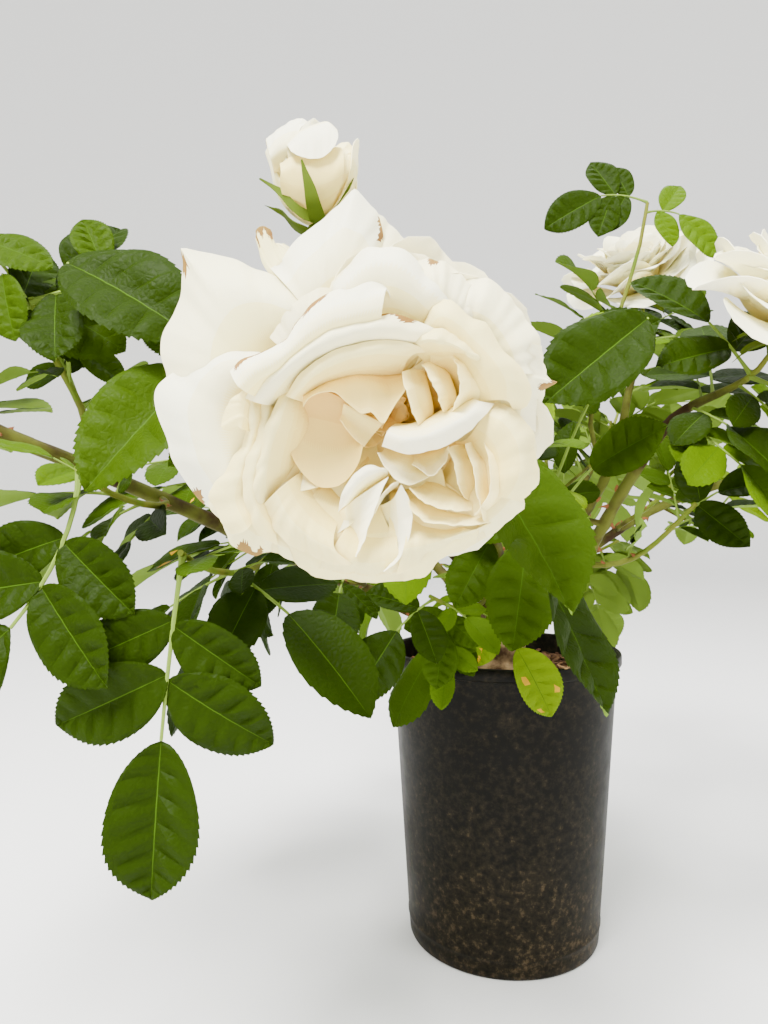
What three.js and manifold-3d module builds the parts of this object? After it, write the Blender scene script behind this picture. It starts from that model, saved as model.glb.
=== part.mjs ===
// A double white rose bush growing in a tall black nursery pot.
// Millimetres, +Z up, standing on z = 0 with the pot's axis on z. -Y is the side with the large open bloom.
import * as THREE from "three";
import { mergeVertices } from "three/addons/utils/BufferGeometryUtils.js";
import Module from "manifold-3d";

const wasm = await Module();
wasm.setup();

// Clearance between solids that touch on the real plant
const CLEAR = 0.3;
// Vertices nearer than this are one vertex
const WELD = 1e-4;

// The pot, its soil, and the knobbly stock that every cane grows from
const POT = {
  height: 232, topRadius: 92, baseRadius: 77, baseEdge: 3, wall: 2.4, floor: 3,
  lip: 3, lipDepth: 9, lipSlope: 1.5, lipEdge: 1, sides: 36,
};
const SOIL = {
  below: 18, flatRadius: 30, dip: 2.5, dipAt: 0.6, bank: 1, bankWidth: 4, wallDrop: 3, sides: 20,
};
const STOCK = {
  knobRadius: 19, knobRise: 20, dome: [-25, -5, 15, 35, 55, 75], waist: 0.86, waistRise: 0.42,
  flareRadius: 27, flareRise: 5, flareTop: 0.82, sides: 18,
};
const SOIL_TOP = POT.height - SOIL.below;
const KNOB = new THREE.Vector3(0, 0, SOIL_TOP + STOCK.knobRise);

// Leaves: a rose leaf is a stalk with pairs of leaflets and one at the end. forward, hang and tilt turn
// a pair's leaflets along the stalk, downwards and open; lean and stagger keep neighbours apart.
const LEAFLET = {
  length: 52, firstScale: 0.75, endScale: 1.12, endShare: 0.62,
  wide: 0.33, thick: 0.022, fold: 0.07, droop: 0.1,
  forward: 0.42, hang: 0.16, tilt: 0.18, lean: 0.22, sink: 0.2, stagger: 1.2,
};
// One side of a blade's outline, as shares of its length, half width and fold, and its thickest place
const BLADE = { shoulders: [[0.28, 0.95, 1], [0.68, 0.82, 0.4]], ridge: 0.45 };
const STALK = { radius: 1.15, tipRadius: 0.75, bare: 0.44, shares: [0, 0.35, 0.7, 1], sides: 3 };
// Length of a leaf from its shoot to its tip, by its pairs of leaflets
const REACH = [62, 104, 140];
// Points that stand for a blade when its room is tested: rows of three across it, and one past its tip
const FEELERS = { rows: [[0.12, 0.5], [0.3, 0.95], [0.5, 0.92], [0.7, 0.8], [0.87, 0.4]], tip: 1.02 };
// Room that a leaf keeps from other masses, canes, blooms, the pot and its own mass's leaves. A bloom
// takes up a ball, whose centre and reach are shares of its radius.
const ROOM = { mass: 1.2, cane: 2.5, bloom: 2.5, bloomRise: 0.42, bloomReach: 0.92, pot: 5, leaf: 8 };
// How the rule sets its leaves: scale and droop are ranges, onePair the chance of a single pair, along
// and aside the heading off the stem, outward and over the way that the face turns, arch the stalk's
// bow. lowest and highest are shares of the stem, and single is where between them a lone leaf grows.
const HABIT = {
  scale: [0.85, 1.1], small: 0.8, onePair: 0.3, along: 0.55, aside: 0.85, droop: [0.1, 0.35], arch: 0.1,
  outward: 0.75, over: 0.25, lowest: 0.35, highest: 0.97, single: 0.7, waver: 20, tries: 24, nextTurn: 61,
};
// Bow of a leaf with a known place, as a share of its span
const PLACED_ARCH = 0.2;
const SEED = 101;
const GOLDEN_TURN = 137.5;

// Canes: bearing is the compass angle at the foot (0 is +X, 90 is +Y), climb the angle above level there.
// Each ends at tip, heading along end, and tapers from foot radius to tip radius.
const CANES = {
  front: { bearing: 268, climb: 52, radii: [5.2, 3.4], tip: [-82, -262, 391], end: [-0.12, -0.98, 0.1] },
  bud: { bearing: 212, climb: 66, radii: [4.8, 3.2], tip: [-124, -198, 402], end: [-0.1, -0.75, 0.66] },
  left: { bearing: 214, climb: 20, radii: [5.6, 4.2], tip: [-288, -232, 381], end: [-0.8, -0.35, 0.35] },
  right_front: { bearing: 300, climb: 30, radii: [5, 3.4], tip: [62, -196, 392], end: [0.3, -0.45, 0.6] },
  right_back: { bearing: 345, climb: 66, radii: [5, 3.4], tip: [96, -18, 425], end: [0.15, 0.05, 1] },
  right: { bearing: 22, climb: 46, radii: [4.6, 3], tip: [205, -28, 376], end: [0.95, -0.2, 0.2] },
  back_right: { bearing: 58, climb: 44, radii: [4.8, 3.2], tip: [118, 168, 388], end: [0.45, 0.6, 0.6] },
  back_left: { bearing: 132, climb: 42, radii: [5, 3.2], tip: [-132, 158, 396], end: [-0.4, 0.5, 0.75] },
};
const CANE_STEPS = 10;
const CANE_SIDES = 5;
// Share of a line's span that each handle of its curve takes
const HANDLE = 0.4;

// Flower heads: base is the seat above the hip, face the way the bloom looks, radius its reach
const BLOOMS = {
  bloom_main: { base: [-99, -382, 379], face: [0.06, -0.98, -0.16], radius: 51 },
  bloom_right: { base: [108, -238, 436], face: [0.2, -0.6, 0.75], radius: 48 },
  bloom_back_right: { base: [112, -10, 522], face: [-0.3, -0.5, 0.8], radius: 50 },
  bloom_back_left: { base: [-158, 204, 462], face: [-0.3, 0.5, 0.8], radius: 48 },
  bud_front: { base: [-129, -295, 473], face: [-0.1, 0.06, 1], radius: 21 },
  bud_left: { base: [-352, -262, 452], face: [-0.35, -0.1, 0.95], radius: 17 },
};
// Petals in rings from the reflexed outer ones to those that close over the heart. Lengths and widths
// are shares of the bloom's radius, open is a petal's angle from the axis at its foot and its edge,
// and cup, a share too, is the radius that it bends to across.
const OUTER = { count: 5, length: 1.1, width: 1.05, open: [66, 98], cup: 1.1 };
const MIDDLE = { count: 5, length: 0.95, width: 0.9, open: [46, 74], cup: 0.7 };
const INNER = { count: 5, length: 0.8, width: 0.72, open: [28, 46], cup: 0.5 };
const HEART = { count: 3, length: 0.66, width: 0.6, open: [10, 8], cup: 0.3 };
const RINGS = {
  bloom_main: [OUTER, MIDDLE, INNER, HEART],
  bloom_right: [OUTER, MIDDLE, HEART],
  bloom_back_right: [OUTER, MIDDLE, HEART],
  bloom_back_left: [OUTER, MIDDLE, HEART],
  bud_front: [{ count: 3, length: 2, width: 1.9, open: [40, 6], cup: 0.85 }],
  bud_left: [{ count: 3, length: 2, width: 1.8, open: [34, 0], cup: 0.85 }],
};
// Long outer petals of the large bloom, by the angle that each points to, from +X towards +Z
const GUARDS = [
  { turn: 143, length: 1.54, width: 0.92, open: [72, 94], cup: 1.2 },
  { turn: 103, length: 1.34, width: 0.68, open: [66, 88], cup: 1.2 },
  { turn: 182, length: 1.46, width: 1.2, open: [74, 96], cup: 1.2 },
];
// A petal's sheet: seat is its foot's height, widest the share where it is widest, foot and blunt how
// fast it narrows to its foot and its edge, and shares are the places of its cross lines
const PETAL = {
  thick: 1.7, seat: 3, shares: [0, 0.38, 0.74, 1], widest: 0.66, foot: 1.015, blunt: 1.12,
  twist: 13, ringTurn: 0.45, firstTurn: 17,
};
// The solid heart that the petals stand round: its radius and height as shares of the bloom's radius
const CORE = {
  bloom: [0.36, 0.48], bud: [0.64, 1.6], footRadius: 4.5, belly: [1, 0.4], top: [0.9, 0.8], sides: 7,
};

// Shoots: each is the stem of one mass of leaves. It leaves its cane at a share of the cane's length
// (1 is the cane's tip) and ends at tip, or at the flower that it carries. leaves and twigs are how
// many the rule grows on it, and placed lists leaves whose end leaflet reaches a known point; bow is
// how far such a leaf's stalk bends aside.
const SHOOTS = {
  front_tip: {
    cane: "front", at: 1, flower: "bloom_main", leaves: 1, twigs: 0,
    placed: [{ at: 0.45, to: [-20, -367, 308], face: [0.5, -0.8, 0.3], pairs: 1, scale: 1.25 },
      { at: 0.15, to: [0, -341, 254], face: [0.8, -0.5, 0.2], pairs: 1, scale: 1.25 }],
  },
  front_low: {
    cane: "front", at: 0.2, tip: [-70, -158, 292], leaves: 0, twigs: 0,
    placed: [{ at: 0.95, to: [-121, -206, 232], face: [-0.1, -0.95, 0.3], pairs: 1, scale: 0.9 },
      { at: 0.8, to: [-66, -150, 226], face: [0, -0.95, 0.3], pairs: 1, scale: 0.75 },
      { at: 0.35, to: [24, -112, 197], face: [0.2, -0.95, 0.2], pairs: 1, scale: 0.9 }],
  },
  front_mid: {
    cane: "front", at: 0.52, tip: [-10, -205, 352], leaves: 1, twigs: 0,
    placed: [{ at: 0.9, to: [-34, -252, 268], face: [0.1, -0.95, 0.3], pairs: 1, scale: 1.05 },
      { at: 0.6, to: [-62, -226, 292], face: [0.2, -0.7, 0.7], pairs: 1, scale: 0.8 }],
  },
  bud_tip: {
    cane: "bud", at: 1, flower: "bud_front", leaves: 0, twigs: 0,
    placed: [{ at: 0.2, to: [-180, -146, 410], face: [-0.3, 0.1, 1], pairs: 1, scale: 0.9 },
      { at: 0.3, to: [-66, -150, 432], face: [0.3, 0.2, 1], pairs: 1, scale: 0.9 }],
  },
  bud_side: {
    cane: "bud", at: 0.72, tip: [-152, -290, 424], leaves: 0, twigs: 0,
    placed: [{ at: 1, to: [-219, -351, 351], face: [-0.1, -0.9, 0.4], pairs: 1, scale: 1.25 },
      { at: 0.7, to: [-196, -300, 372], face: [0, -0.8, 0.5], pairs: 0, scale: 1 }],
  },
  left_tip: { cane: "left", at: 1, flower: "bud_left", leaves: 3, twigs: 0, placed: [] },
  left_up: {
    cane: "left", at: 0.94, tip: [-262, -286, 444], leaves: 0, twigs: 0,
    placed: [{ at: 0.98, to: [-179, -312, 430], face: [0.1, -0.75, 0.65], pairs: 1, scale: 1.2 },
      { at: 0.9, to: [-300, -312, 466], face: [-0.1, -0.7, 0.7], pairs: 1, scale: 1.05 },
      { at: 0.8, to: [-222, -268, 408], face: [0.1, -0.8, 0.6], pairs: 0, scale: 1.1 },
      { at: 0.85, to: [-240, -240, 494], face: [0.1, -0.8, 0.6], pairs: 0, scale: 1 }],
  },
  left_down: {
    cane: "left", at: 0.66, tip: [-184, -320, 328], leaves: 0, twigs: 0,
    placed: [{ at: 0.98, to: [-197, -326, 168], face: [0.05, -0.97, 0.2], pairs: 2, scale: 1.15 }],
  },
  left_fore: {
    cane: "left", at: 0.82, tip: [-232, -308, 364], leaves: 0, twigs: 0,
    placed: [{ at: 0.98, to: [-310, -340, 246], face: [-0.1, -0.92, 0.35], pairs: 2, scale: 1.15,
      bow: [42, 0, -6] }],
  },
  left_low: {
    cane: "left", at: 0.4, tip: [-160, -206, 332], leaves: 1, twigs: 0,
    placed: [{ at: 0.95, to: [-168, -222, 284], face: [0, -0.9, 0.4], pairs: 0, scale: 1.1 },
      { at: 0.5, to: [-128, -226, 268], face: [0.2, -0.9, 0.3], pairs: 1, scale: 0.8 }],
  },
  left_back: { cane: "left", at: 0.5, tip: [-238, -92, 392], leaves: 3, twigs: 1, placed: [] },
  right_front_tip: {
    cane: "right_front", at: 1, flower: "bloom_right", leaves: 1, twigs: 0,
    placed: [{ at: 0.8, to: [50, -200, 480], face: [0, -0.75, 0.65], pairs: 1, scale: 1.15 }],
  },
  right_front_side: {
    cane: "right_front", at: 0.7, tip: [-34, -216, 404], leaves: 0, twigs: 0,
    placed: [{ at: 0.85, to: [38, -241, 446], face: [0.1, -0.8, 0.6], pairs: 0, scale: 1.4 },
      { at: 0.25, to: [52, -212, 392], face: [0.1, -0.9, 0.4], pairs: 0, scale: 1 },
      { at: 0.4, to: [-6, -250, 350], face: [0.1, -0.9, 0.5], pairs: 1, scale: 0.9 }],
  },
  right_front_low: {
    cane: "right_front", at: 0.5, tip: [92, -170, 350], leaves: 2, twigs: 0,
    placed: [{ at: 0.9, to: [128, -196, 366], face: [0.1, -0.8, 0.6], pairs: 1, scale: 1 }],
  },
  right_back_tip: { cane: "right_back", at: 1, flower: "bloom_back_right", leaves: 1, twigs: 0, placed: [] },
  right_back_leafy: {
    cane: "right_back", at: 0.8, tip: [96, -72, 574], leaves: 0, twigs: 0,
    placed: [{ at: 1, to: [16, -72, 556], face: [0, -0.95, 0.3], pairs: 2, scale: 0.8, bow: [0, 0, 26] },
      { at: 0.97, to: [152, -80, 528], face: [0.3, -0.9, 0.3], pairs: 1, scale: 0.8, bow: [4, 0, 26] }],
  },
  right_back_side: { cane: "right_back", at: 0.5, tip: [40, 40, 420], leaves: 3, twigs: 1, placed: [] },
  right_tip: { cane: "right", at: 1, tip: [272, -70, 428], leaves: 3, twigs: 1, placed: [] },
  right_side: { cane: "right", at: 0.6, tip: [176, 50, 402], leaves: 3, twigs: 1, placed: [] },
  right_low: { cane: "right", at: 0.5, tip: [118, -78, 372], leaves: 3, twigs: 0, placed: [] },
  back_right_tip: { cane: "back_right", at: 1, tip: [168, 232, 462], leaves: 4, twigs: 1, placed: [] },
  back_right_side: { cane: "back_right", at: 0.6, tip: [38, 182, 402], leaves: 3, twigs: 1, placed: [] },
  back_right_low: { cane: "back_right", at: 0.4, tip: [122, 84, 318], leaves: 3, twigs: 0, placed: [] },
  back_left_tip: { cane: "back_left", at: 1, flower: "bloom_back_left", leaves: 2, twigs: 0, placed: [] },
  back_left_side: { cane: "back_left", at: 0.68, tip: [-52, 132, 452], leaves: 3, twigs: 1, placed: [] },
  back_left_low: { cane: "back_left", at: 0.45, tip: [-168, 58, 336], leaves: 3, twigs: 1, placed: [] },
};
// Spaces that leaves stay out of, as lowest and highest corners: over the large bloom and the bud,
// over the heart of the bush, and under the canes on the right
const CLEARINGS = [
  [[-280, -460, 455], [40, -120, 700]],
  [[-300, -120, 515], [20, 100, 700]],
  [[75, -200, 230], [230, 60, 325]],
];
const SHOOT = { radius: 2.1, tipRadius: 1.4, rise: 0.35, steps: 8, sides: 3, terminalSides: 5 };
const TWIG = { from: 0.3, to: 0.6, length: 72, along: 0.5, rise: 0.2, radius: 1.5, tipRadius: 1, steps: 4 };
// The hip under a flower and its sepals: seat is where they sit, as shares of its length and radius,
// and open and shut are their lean along the flower's axis under a bloom and round a bud
const HIP = {
  radius: 5, length: 9, sunk: 2, neck: 0.35, belly: 0.45, rim: 0.85, sides: 6,
  sepals: 5, sepal: 19, sepalWide: 0.18, seat: [0.55, 0.5], open: -0.75, shut: 0.15,
};

const UP = new THREE.Vector3(0, 0, 1);
const ORIGIN = new THREE.Vector3();
const vec = (p) => new THREE.Vector3(...p);
const radians = (degrees) => (degrees * Math.PI) / 180;
const lerp = (a, b, t) => a + (b - a) * t;

// A small seeded generator, so that the plant grows the same way each time.
function seeded(seed) {
  let state = seed;
  return () => {
    state = (state * 16807) % 2147483647;
    return state / 2147483647;
  };
}

// Two directions across a line: side is level, rise points upwards.
function across(direction) {
  const pole = Math.abs(direction.z) < 0.95 ? UP : new THREE.Vector3(1, 0, 0);
  const side = new THREE.Vector3().crossVectors(pole, direction).normalize();
  return { side, rise: new THREE.Vector3().crossVectors(direction, side) };
}

// The direction across a line at an angle round it.
function spoke(direction, turn) {
  const { side, rise } = across(direction);
  return side.multiplyScalar(Math.cos(turn)).addScaledVector(rise, Math.sin(turn));
}

// A curve's points and directions at the given shares of it.
function sample(curve, shares) {
  return {
    points: shares.map((share) => curve.getPoint(share)),
    directions: shares.map((share) => curve.getTangent(share)),
  };
}

// A line that leaves start along out and reaches end along arrive.
function sweep(start, out, end, arrive, steps) {
  const reach = start.distanceTo(end) * HANDLE;
  const curve = new THREE.CubicBezierCurve3(
    start,
    start.clone().addScaledVector(out, reach),
    end.clone().addScaledVector(arrive, -reach),
    end,
  );
  return sample(curve, Array.from({ length: steps + 1 }, (_, i) => i / steps));
}

// The point and direction at a share of a line.
function along({ points, directions }, share) {
  const place = share * (points.length - 1);
  const i = Math.min(Math.floor(place), points.length - 2);
  return {
    point: points[i].clone().lerp(points[i + 1], place - i),
    direction: directions[i].clone().lerp(directions[i + 1], place - i).normalize(),
  };
}

// Solids

function solidFrom(geometry) {
  geometry.deleteAttribute("normal");
  geometry.deleteAttribute("uv");
  const merged = mergeVertices(geometry, WELD);
  return new wasm.Manifold(
    new wasm.Mesh({
      numProp: 3,
      vertProperties: merged.attributes.position.array,
      triVerts: new Uint32Array(merged.index.array),
    }),
  );
}

function solid(vertices, triangles) {
  const geometry = new THREE.BufferGeometry().setFromPoints(vertices);
  return solidFrom(geometry.setIndex(triangles.flat()));
}

// Joins solids into one, fills what the joining sealed off, and drops loose scraps.
function fuse(solids) {
  const pieces = wasm.Manifold.union(solids).decompose();
  return pieces.reduce((best, piece) => (piece.volume() > best.volume() ? piece : best));
}

function geometryOf(manifold) {
  const mesh = manifold.getMesh();
  const geometry = new THREE.BufferGeometry();
  geometry.setAttribute("position", new THREE.BufferAttribute(mesh.vertProperties, 3));
  geometry.setIndex(new THREE.BufferAttribute(mesh.triVerts, 1));
  geometry.computeVertexNormals();
  return geometry;
}

// A tapering limb along a line, with flat ends.
function limb({ points, directions, radiusAt, sides }) {
  const vertices = [];
  const triangles = [];
  let { side } = across(directions[0]);
  points.forEach((point, i) => {
    const direction = directions[i];
    side = side.clone().addScaledVector(direction, -side.dot(direction)).normalize();
    const rise = new THREE.Vector3().crossVectors(direction, side);
    const radius = radiusAt(i / (points.length - 1));
    for (let k = 0; k < sides; k++) {
      const turn = (2 * Math.PI * k) / sides;
      const out = side.clone().multiplyScalar(Math.cos(turn)).addScaledVector(rise, Math.sin(turn));
      vertices.push(point.clone().addScaledVector(out, radius));
    }
  });
  const ring = (i, k) => i * sides + (k % sides);
  const last = points.length - 1;
  for (let i = 0; i < last; i++) {
    for (let k = 0; k < sides; k++) {
      triangles.push([ring(i, k), ring(i, k + 1), ring(i + 1, k + 1)]);
      triangles.push([ring(i, k), ring(i + 1, k + 1), ring(i + 1, k)]);
    }
  }
  for (let k = 1; k < sides - 1; k++) {
    triangles.push([ring(0, 0), ring(0, k + 1), ring(0, k)]);
    triangles.push([ring(last, 0), ring(last, k), ring(last, k + 1)]);
  }
  return solid(vertices, triangles);
}

// A solid turned round the axis from centre, from [radius, height] pairs that start and end on it.
function turned(profile, centre, axis, sides) {
  const outline = profile.map(([radius, height]) => new THREE.Vector2(radius, height));
  const lathe = new THREE.LatheGeometry(outline, sides);
  lathe.applyQuaternion(new THREE.Quaternion().setFromUnitVectors(new THREE.Vector3(0, 1, 0), axis));
  return solidFrom(lathe.translate(centre.x, centre.y, centre.z));
}

// A lens-like sheet: the rim is a closed outline, ridge holds the points of its middle, and both
// sides bulge from the rim by half of thick along normals. faces lists triangles over rim and ridge.
function lens(rim, ridge, normals, thick, faces) {
  const raised = (lift) => ridge.map((point, i) => point.clone().addScaledVector(normals[i], lift));
  const vertices = [...rim, ...raised(thick / 2), ...raised(-thick / 2)];
  const under = (i) => (i < rim.length ? i : i + ridge.length);
  return solid(vertices, [...faces, ...faces.map(([a, b, c]) => [under(a), under(c), under(b)])]);
}

// Growth: the lines of canes, shoots and twigs

function growCane({ bearing, climb, radii, tip, end }) {
  const level = Math.cos(radians(climb));
  const out = vec([
    Math.cos(radians(bearing)) * level,
    Math.sin(radians(bearing)) * level,
    Math.sin(radians(climb)),
  ]);
  const foot = KNOB.clone().addScaledVector(out, STOCK.knobRadius + CLEAR);
  return {
    ...sweep(foot, out, vec(tip), vec(end).normalize(), CANE_STEPS),
    radiusAt: (share) => lerp(radii[0], radii[1], share),
    sides: CANE_SIDES,
  };
}

function growShoot(shoot, cane) {
  const terminal = shoot.at === 1;
  const flower = BLOOMS[shoot.flower];
  const face = flower && vec(flower.face).normalize();
  const end = flower ? vec(flower.base).addScaledVector(face, -CLEAR - HIP.length) : vec(shoot.tip);
  const seat = along(cane, shoot.at);
  let out = seat.direction;
  let start = seat.point.clone().addScaledVector(out, CLEAR);
  if (!terminal) {
    const aim = end.clone().sub(seat.point);
    out = aim.addScaledVector(seat.direction, -aim.dot(seat.direction)).normalize();
    start = seat.point.clone().addScaledVector(out, cane.radiusAt(shoot.at) + CLEAR);
  }
  const arrive = face ?? end.clone().sub(start).normalize().addScaledVector(UP, SHOOT.rise).normalize();
  const thickest = terminal ? cane.radiusAt(1) : SHOOT.radius;
  return {
    ...sweep(start, out, end, arrive, SHOOT.steps),
    radiusAt: (share) => lerp(thickest, SHOOT.tipRadius, share),
    sides: terminal ? SHOOT.terminalSides : SHOOT.sides,
    face,
    bud: shoot.flower?.startsWith("bud"),
  };
}

// Twigs leave the shoot part of the way up, each a golden turn on from the last, and bend upwards.
function growTwigs(shoot, count, random) {
  return Array.from({ length: count }, (_, i) => {
    const { point, direction } = along(shoot, lerp(TWIG.from, TWIG.to, random()));
    const aside = spoke(direction, radians(360 * random() + GOLDEN_TURN * i));
    const out = aside.addScaledVector(direction, TWIG.along).normalize();
    const end = point.clone().addScaledVector(out, TWIG.length).addScaledVector(UP, TWIG.length * TWIG.rise);
    return {
      ...sweep(point, out, end, UP, TWIG.steps),
      radiusAt: (share) => lerp(TWIG.radius, TWIG.tipRadius, share),
      sides: SHOOT.sides,
    };
  });
}

// Growth: leaves

// One leaf, as its stalk's line and its leaflets. It starts on the shoot, its end leaflet's tip
// comes to end, its middle is pulled along bow, and its upper side turns to facing.
function growLeaf({ start, end, bow, facing, pairs, scale }) {
  const middle = start.clone().lerp(end, 0.5).add(bow);
  const curve = new THREE.QuadraticBezierCurve3(start, middle, end);
  const total = start.distanceTo(end);
  const endLength = Math.min(LEAFLET.length * LEAFLET.endScale * scale, total * LEAFLET.endShare);
  const stalkShare = 1 - endLength / total;
  const stalk = sample(curve, STALK.shares.map((share) => share * stalkShare));
  const leaflets = [];
  for (let pair = 0; pair < pairs; pair++) {
    const share = lerp(STALK.bare, 1, pair / pairs) * stalkShare;
    const point = curve.getPoint(share);
    const direction = curve.getTangent(share);
    const normal = facing.clone().addScaledVector(direction, -facing.dot(direction)).normalize();
    const side = new THREE.Vector3().crossVectors(normal, direction);
    const length = LEAFLET.length * scale * lerp(LEAFLET.firstScale, 1, pair / pairs);
    for (const hand of [-1, 1]) {
      const forward = direction.clone().multiplyScalar(LEAFLET.forward);
      const open = normal.clone().addScaledVector(side, hand * LEAFLET.tilt);
      leaflets.push({
        base: point.clone().addScaledVector(direction, hand * LEAFLET.stagger),
        axis: forward.addScaledVector(side, hand).addScaledVector(UP, -LEAFLET.hang),
        normal: open.addScaledVector(direction, LEAFLET.lean),
        length,
        wide: LEAFLET.wide,
      });
    }
  }
  const base = stalk.points.at(-1);
  leaflets.push({ base, axis: end.clone().sub(base), normal: facing, length: endLength, wide: LEAFLET.wide });
  return { stalk, leaflets };
}

// The directions of a leaflet or sepal: axis runs to its tip, normal out of its upper side.
function bladeFrame(blade) {
  const axis = blade.axis.clone().normalize();
  const normal = blade.normal.clone().addScaledVector(axis, -blade.normal.dot(axis)).normalize();
  return { axis, normal, side: new THREE.Vector3().crossVectors(normal, axis) };
}

// A point on a blade: u runs along it, v across it from -1 to 1, and lift off it in lengths.
function bladePoint(blade, { axis, normal, side }, u, v, lift) {
  return blade.base.clone()
    .addScaledVector(axis, u * blade.length)
    .addScaledVector(side, v * blade.length * blade.wide)
    .addScaledVector(normal, lift * blade.length);
}

// Points over a leaf that stand for it when its room is tested.
function feelers({ stalk, leaflets }) {
  const ofBlade = (blade) => {
    const frame = bladeFrame(blade);
    const spots = FEELERS.rows.flatMap(([u, width]) => [[u, -width], [u, 0], [u, width]]);
    return [...spots, [FEELERS.tip, 0]].map(([u, v]) => bladePoint(blade, frame, u, v, 0));
  };
  return [...stalk.points.slice(1), ...leaflets.flatMap(ofBlade)];
}

function distanceToLine(point, points) {
  const closest = new THREE.Vector3();
  let least = Infinity;
  for (let i = 0; i < points.length - 1; i++) {
    new THREE.Line3(points[i], points[i + 1]).closestPointToPoint(point, true, closest);
    least = Math.min(least, closest.distanceTo(point));
  }
  return least;
}

function inClearing(point) {
  return CLEARINGS.some(([low, high]) => new THREE.Box3(vec(low), vec(high)).containsPoint(point));
}

function nearPot(point) {
  const reach = POT.topRadius + POT.lip + ROOM.pot;
  return point.z < POT.height + ROOM.pot && Math.hypot(point.x, point.y) < reach;
}

function nearBloom(point) {
  return Object.values(BLOOMS).some(({ base, face, radius }) => {
    const centre = vec(base).addScaledVector(vec(face).normalize(), radius * ROOM.bloomRise);
    return point.distanceTo(centre) < radius * ROOM.bloomReach + ROOM.bloom;
  });
}

// Whether every point lies in the mass's own space: nearer to its own stems than to any other
// mass's, and clear of canes, blooms, pot and clearings.
function hasRoom(points, name, masses, canes) {
  const nearest = (point, { stems }) => Math.min(...stems.map((stem) => distanceToLine(point, stem.points)));
  const others = Object.keys(masses).filter((other) => other !== name);
  return points.every((point) => {
    if (nearPot(point) || inClearing(point) || nearBloom(point)) return false;
    const touchesCane = (cane) => distanceToLine(point, cane.points) < cane.radiusAt(0) + ROOM.cane;
    if (Object.values(canes).some(touchesCane)) return false;
    const own = nearest(point, masses[name]) + ROOM.mass;
    return others.every((other) => nearest(point, masses[other]) > own);
  });
}

function apart(points, others) {
  return points.every((point) => others.every((other) => point.distanceTo(other) > ROOM.leaf));
}

// A leaf by the rule, at a share of a stem: it reaches outwards and droops.
function tryLeaf(stem, share, turn, small, random) {
  const { point, direction } = along(stem, share);
  const scale = lerp(...HABIT.scale, random()) * (small ? HABIT.small : 1);
  const pairs = random() < HABIT.onePair || small ? 1 : 2;
  const reach = scale * REACH[pairs];
  const aside = spoke(direction, turn);
  const out = direction.clone().multiplyScalar(HABIT.along).addScaledVector(aside, HABIT.aside).normalize();
  const droop = reach * lerp(...HABIT.droop, random());
  const outward = vec([point.x, point.y, 0]).normalize();
  return growLeaf({
    start: point,
    end: point.clone().addScaledVector(out, reach).addScaledVector(UP, -droop),
    bow: vec([0, 0, reach * HABIT.arch]),
    facing: UP.clone().addScaledVector(outward, HABIT.outward).addScaledVector(aside, HABIT.over),
    pairs,
    scale,
  });
}

// The leaves of one mass: first those with a known place, then the rule's, which climb the stems by
// the golden turn and try turn after turn, and smaller leaves at last, until one has room.
function growLeaves(name, masses, canes, random) {
  const { placed, leaves: wanted } = SHOOTS[name];
  const { stems } = masses[name];
  const leaves = placed.map(({ at, to, face, pairs, scale, bow }) => {
    const { point } = along(stems[0], at);
    const end = vec(to);
    const arch = [0, 0, point.distanceTo(end) * PLACED_ARCH];
    return growLeaf({ start: point, end, bow: vec(bow ?? arch), facing: vec(face), pairs, scale });
  });
  const firstTurn = random() * 360;
  for (let i = 0; i < wanted; i++) {
    const stem = stems[(i + 1) % stems.length];
    const share = lerp(HABIT.lowest, HABIT.highest, wanted === 1 ? HABIT.single : i / (wanted - 1));
    for (let attempt = 0; attempt < HABIT.tries; attempt++) {
      const turn = firstTurn + GOLDEN_TURN * i + HABIT.nextTurn * attempt + HABIT.waver * random();
      const leaf = tryLeaf(stem, share, radians(turn), attempt > HABIT.tries / 2, random);
      const touch = feelers(leaf);
      if (hasRoom(touch, name, masses, canes) && leaves.every((other) => apart(touch, feelers(other)))) {
        leaves.push(leaf);
        break;
      }
    }
  }
  return leaves;
}

// The plant: canes, then every shoot and its twigs, then leaves, so that each leaf knows all stems
function growPlant() {
  const canes = Object.fromEntries(Object.entries(CANES).map(([name, cane]) => [name, growCane(cane)]));
  const masses = {};
  Object.entries(SHOOTS).forEach(([name, shoot], i) => {
    const random = seeded(SEED + i);
    const stem = growShoot(shoot, canes[shoot.cane]);
    masses[name] = { random, stems: [stem, ...growTwigs(stem, shoot.twigs, random)] };
  });
  for (const [name, mass] of Object.entries(masses)) {
    mass.leaves = growLeaves(name, masses, canes, mass.random);
  }
  return { canes, masses };
}

// Building: pot, soil and stock

function radiusOfPot(z) {
  return lerp(POT.baseRadius, POT.topRadius, z / POT.height);
}

function potSolid() {
  const { height, topRadius, baseRadius, baseEdge, wall, floor, lip, lipDepth, lipSlope, lipEdge } = POT;
  const under = height - lipDepth;
  const rim = topRadius + lip;
  const outer = [[0, 0], [baseRadius - baseEdge, 0], [baseRadius, baseEdge], [radiusOfPot(under), under]];
  const edge = [[rim, under + lipSlope], [rim, height - lipEdge], [rim - lipEdge, height]];
  const inner = [[topRadius - wall, height], [radiusOfPot(floor) - wall, floor], [0, floor]];
  return turned([...outer, ...edge, ...inner], ORIGIN, UP, POT.sides);
}

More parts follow.
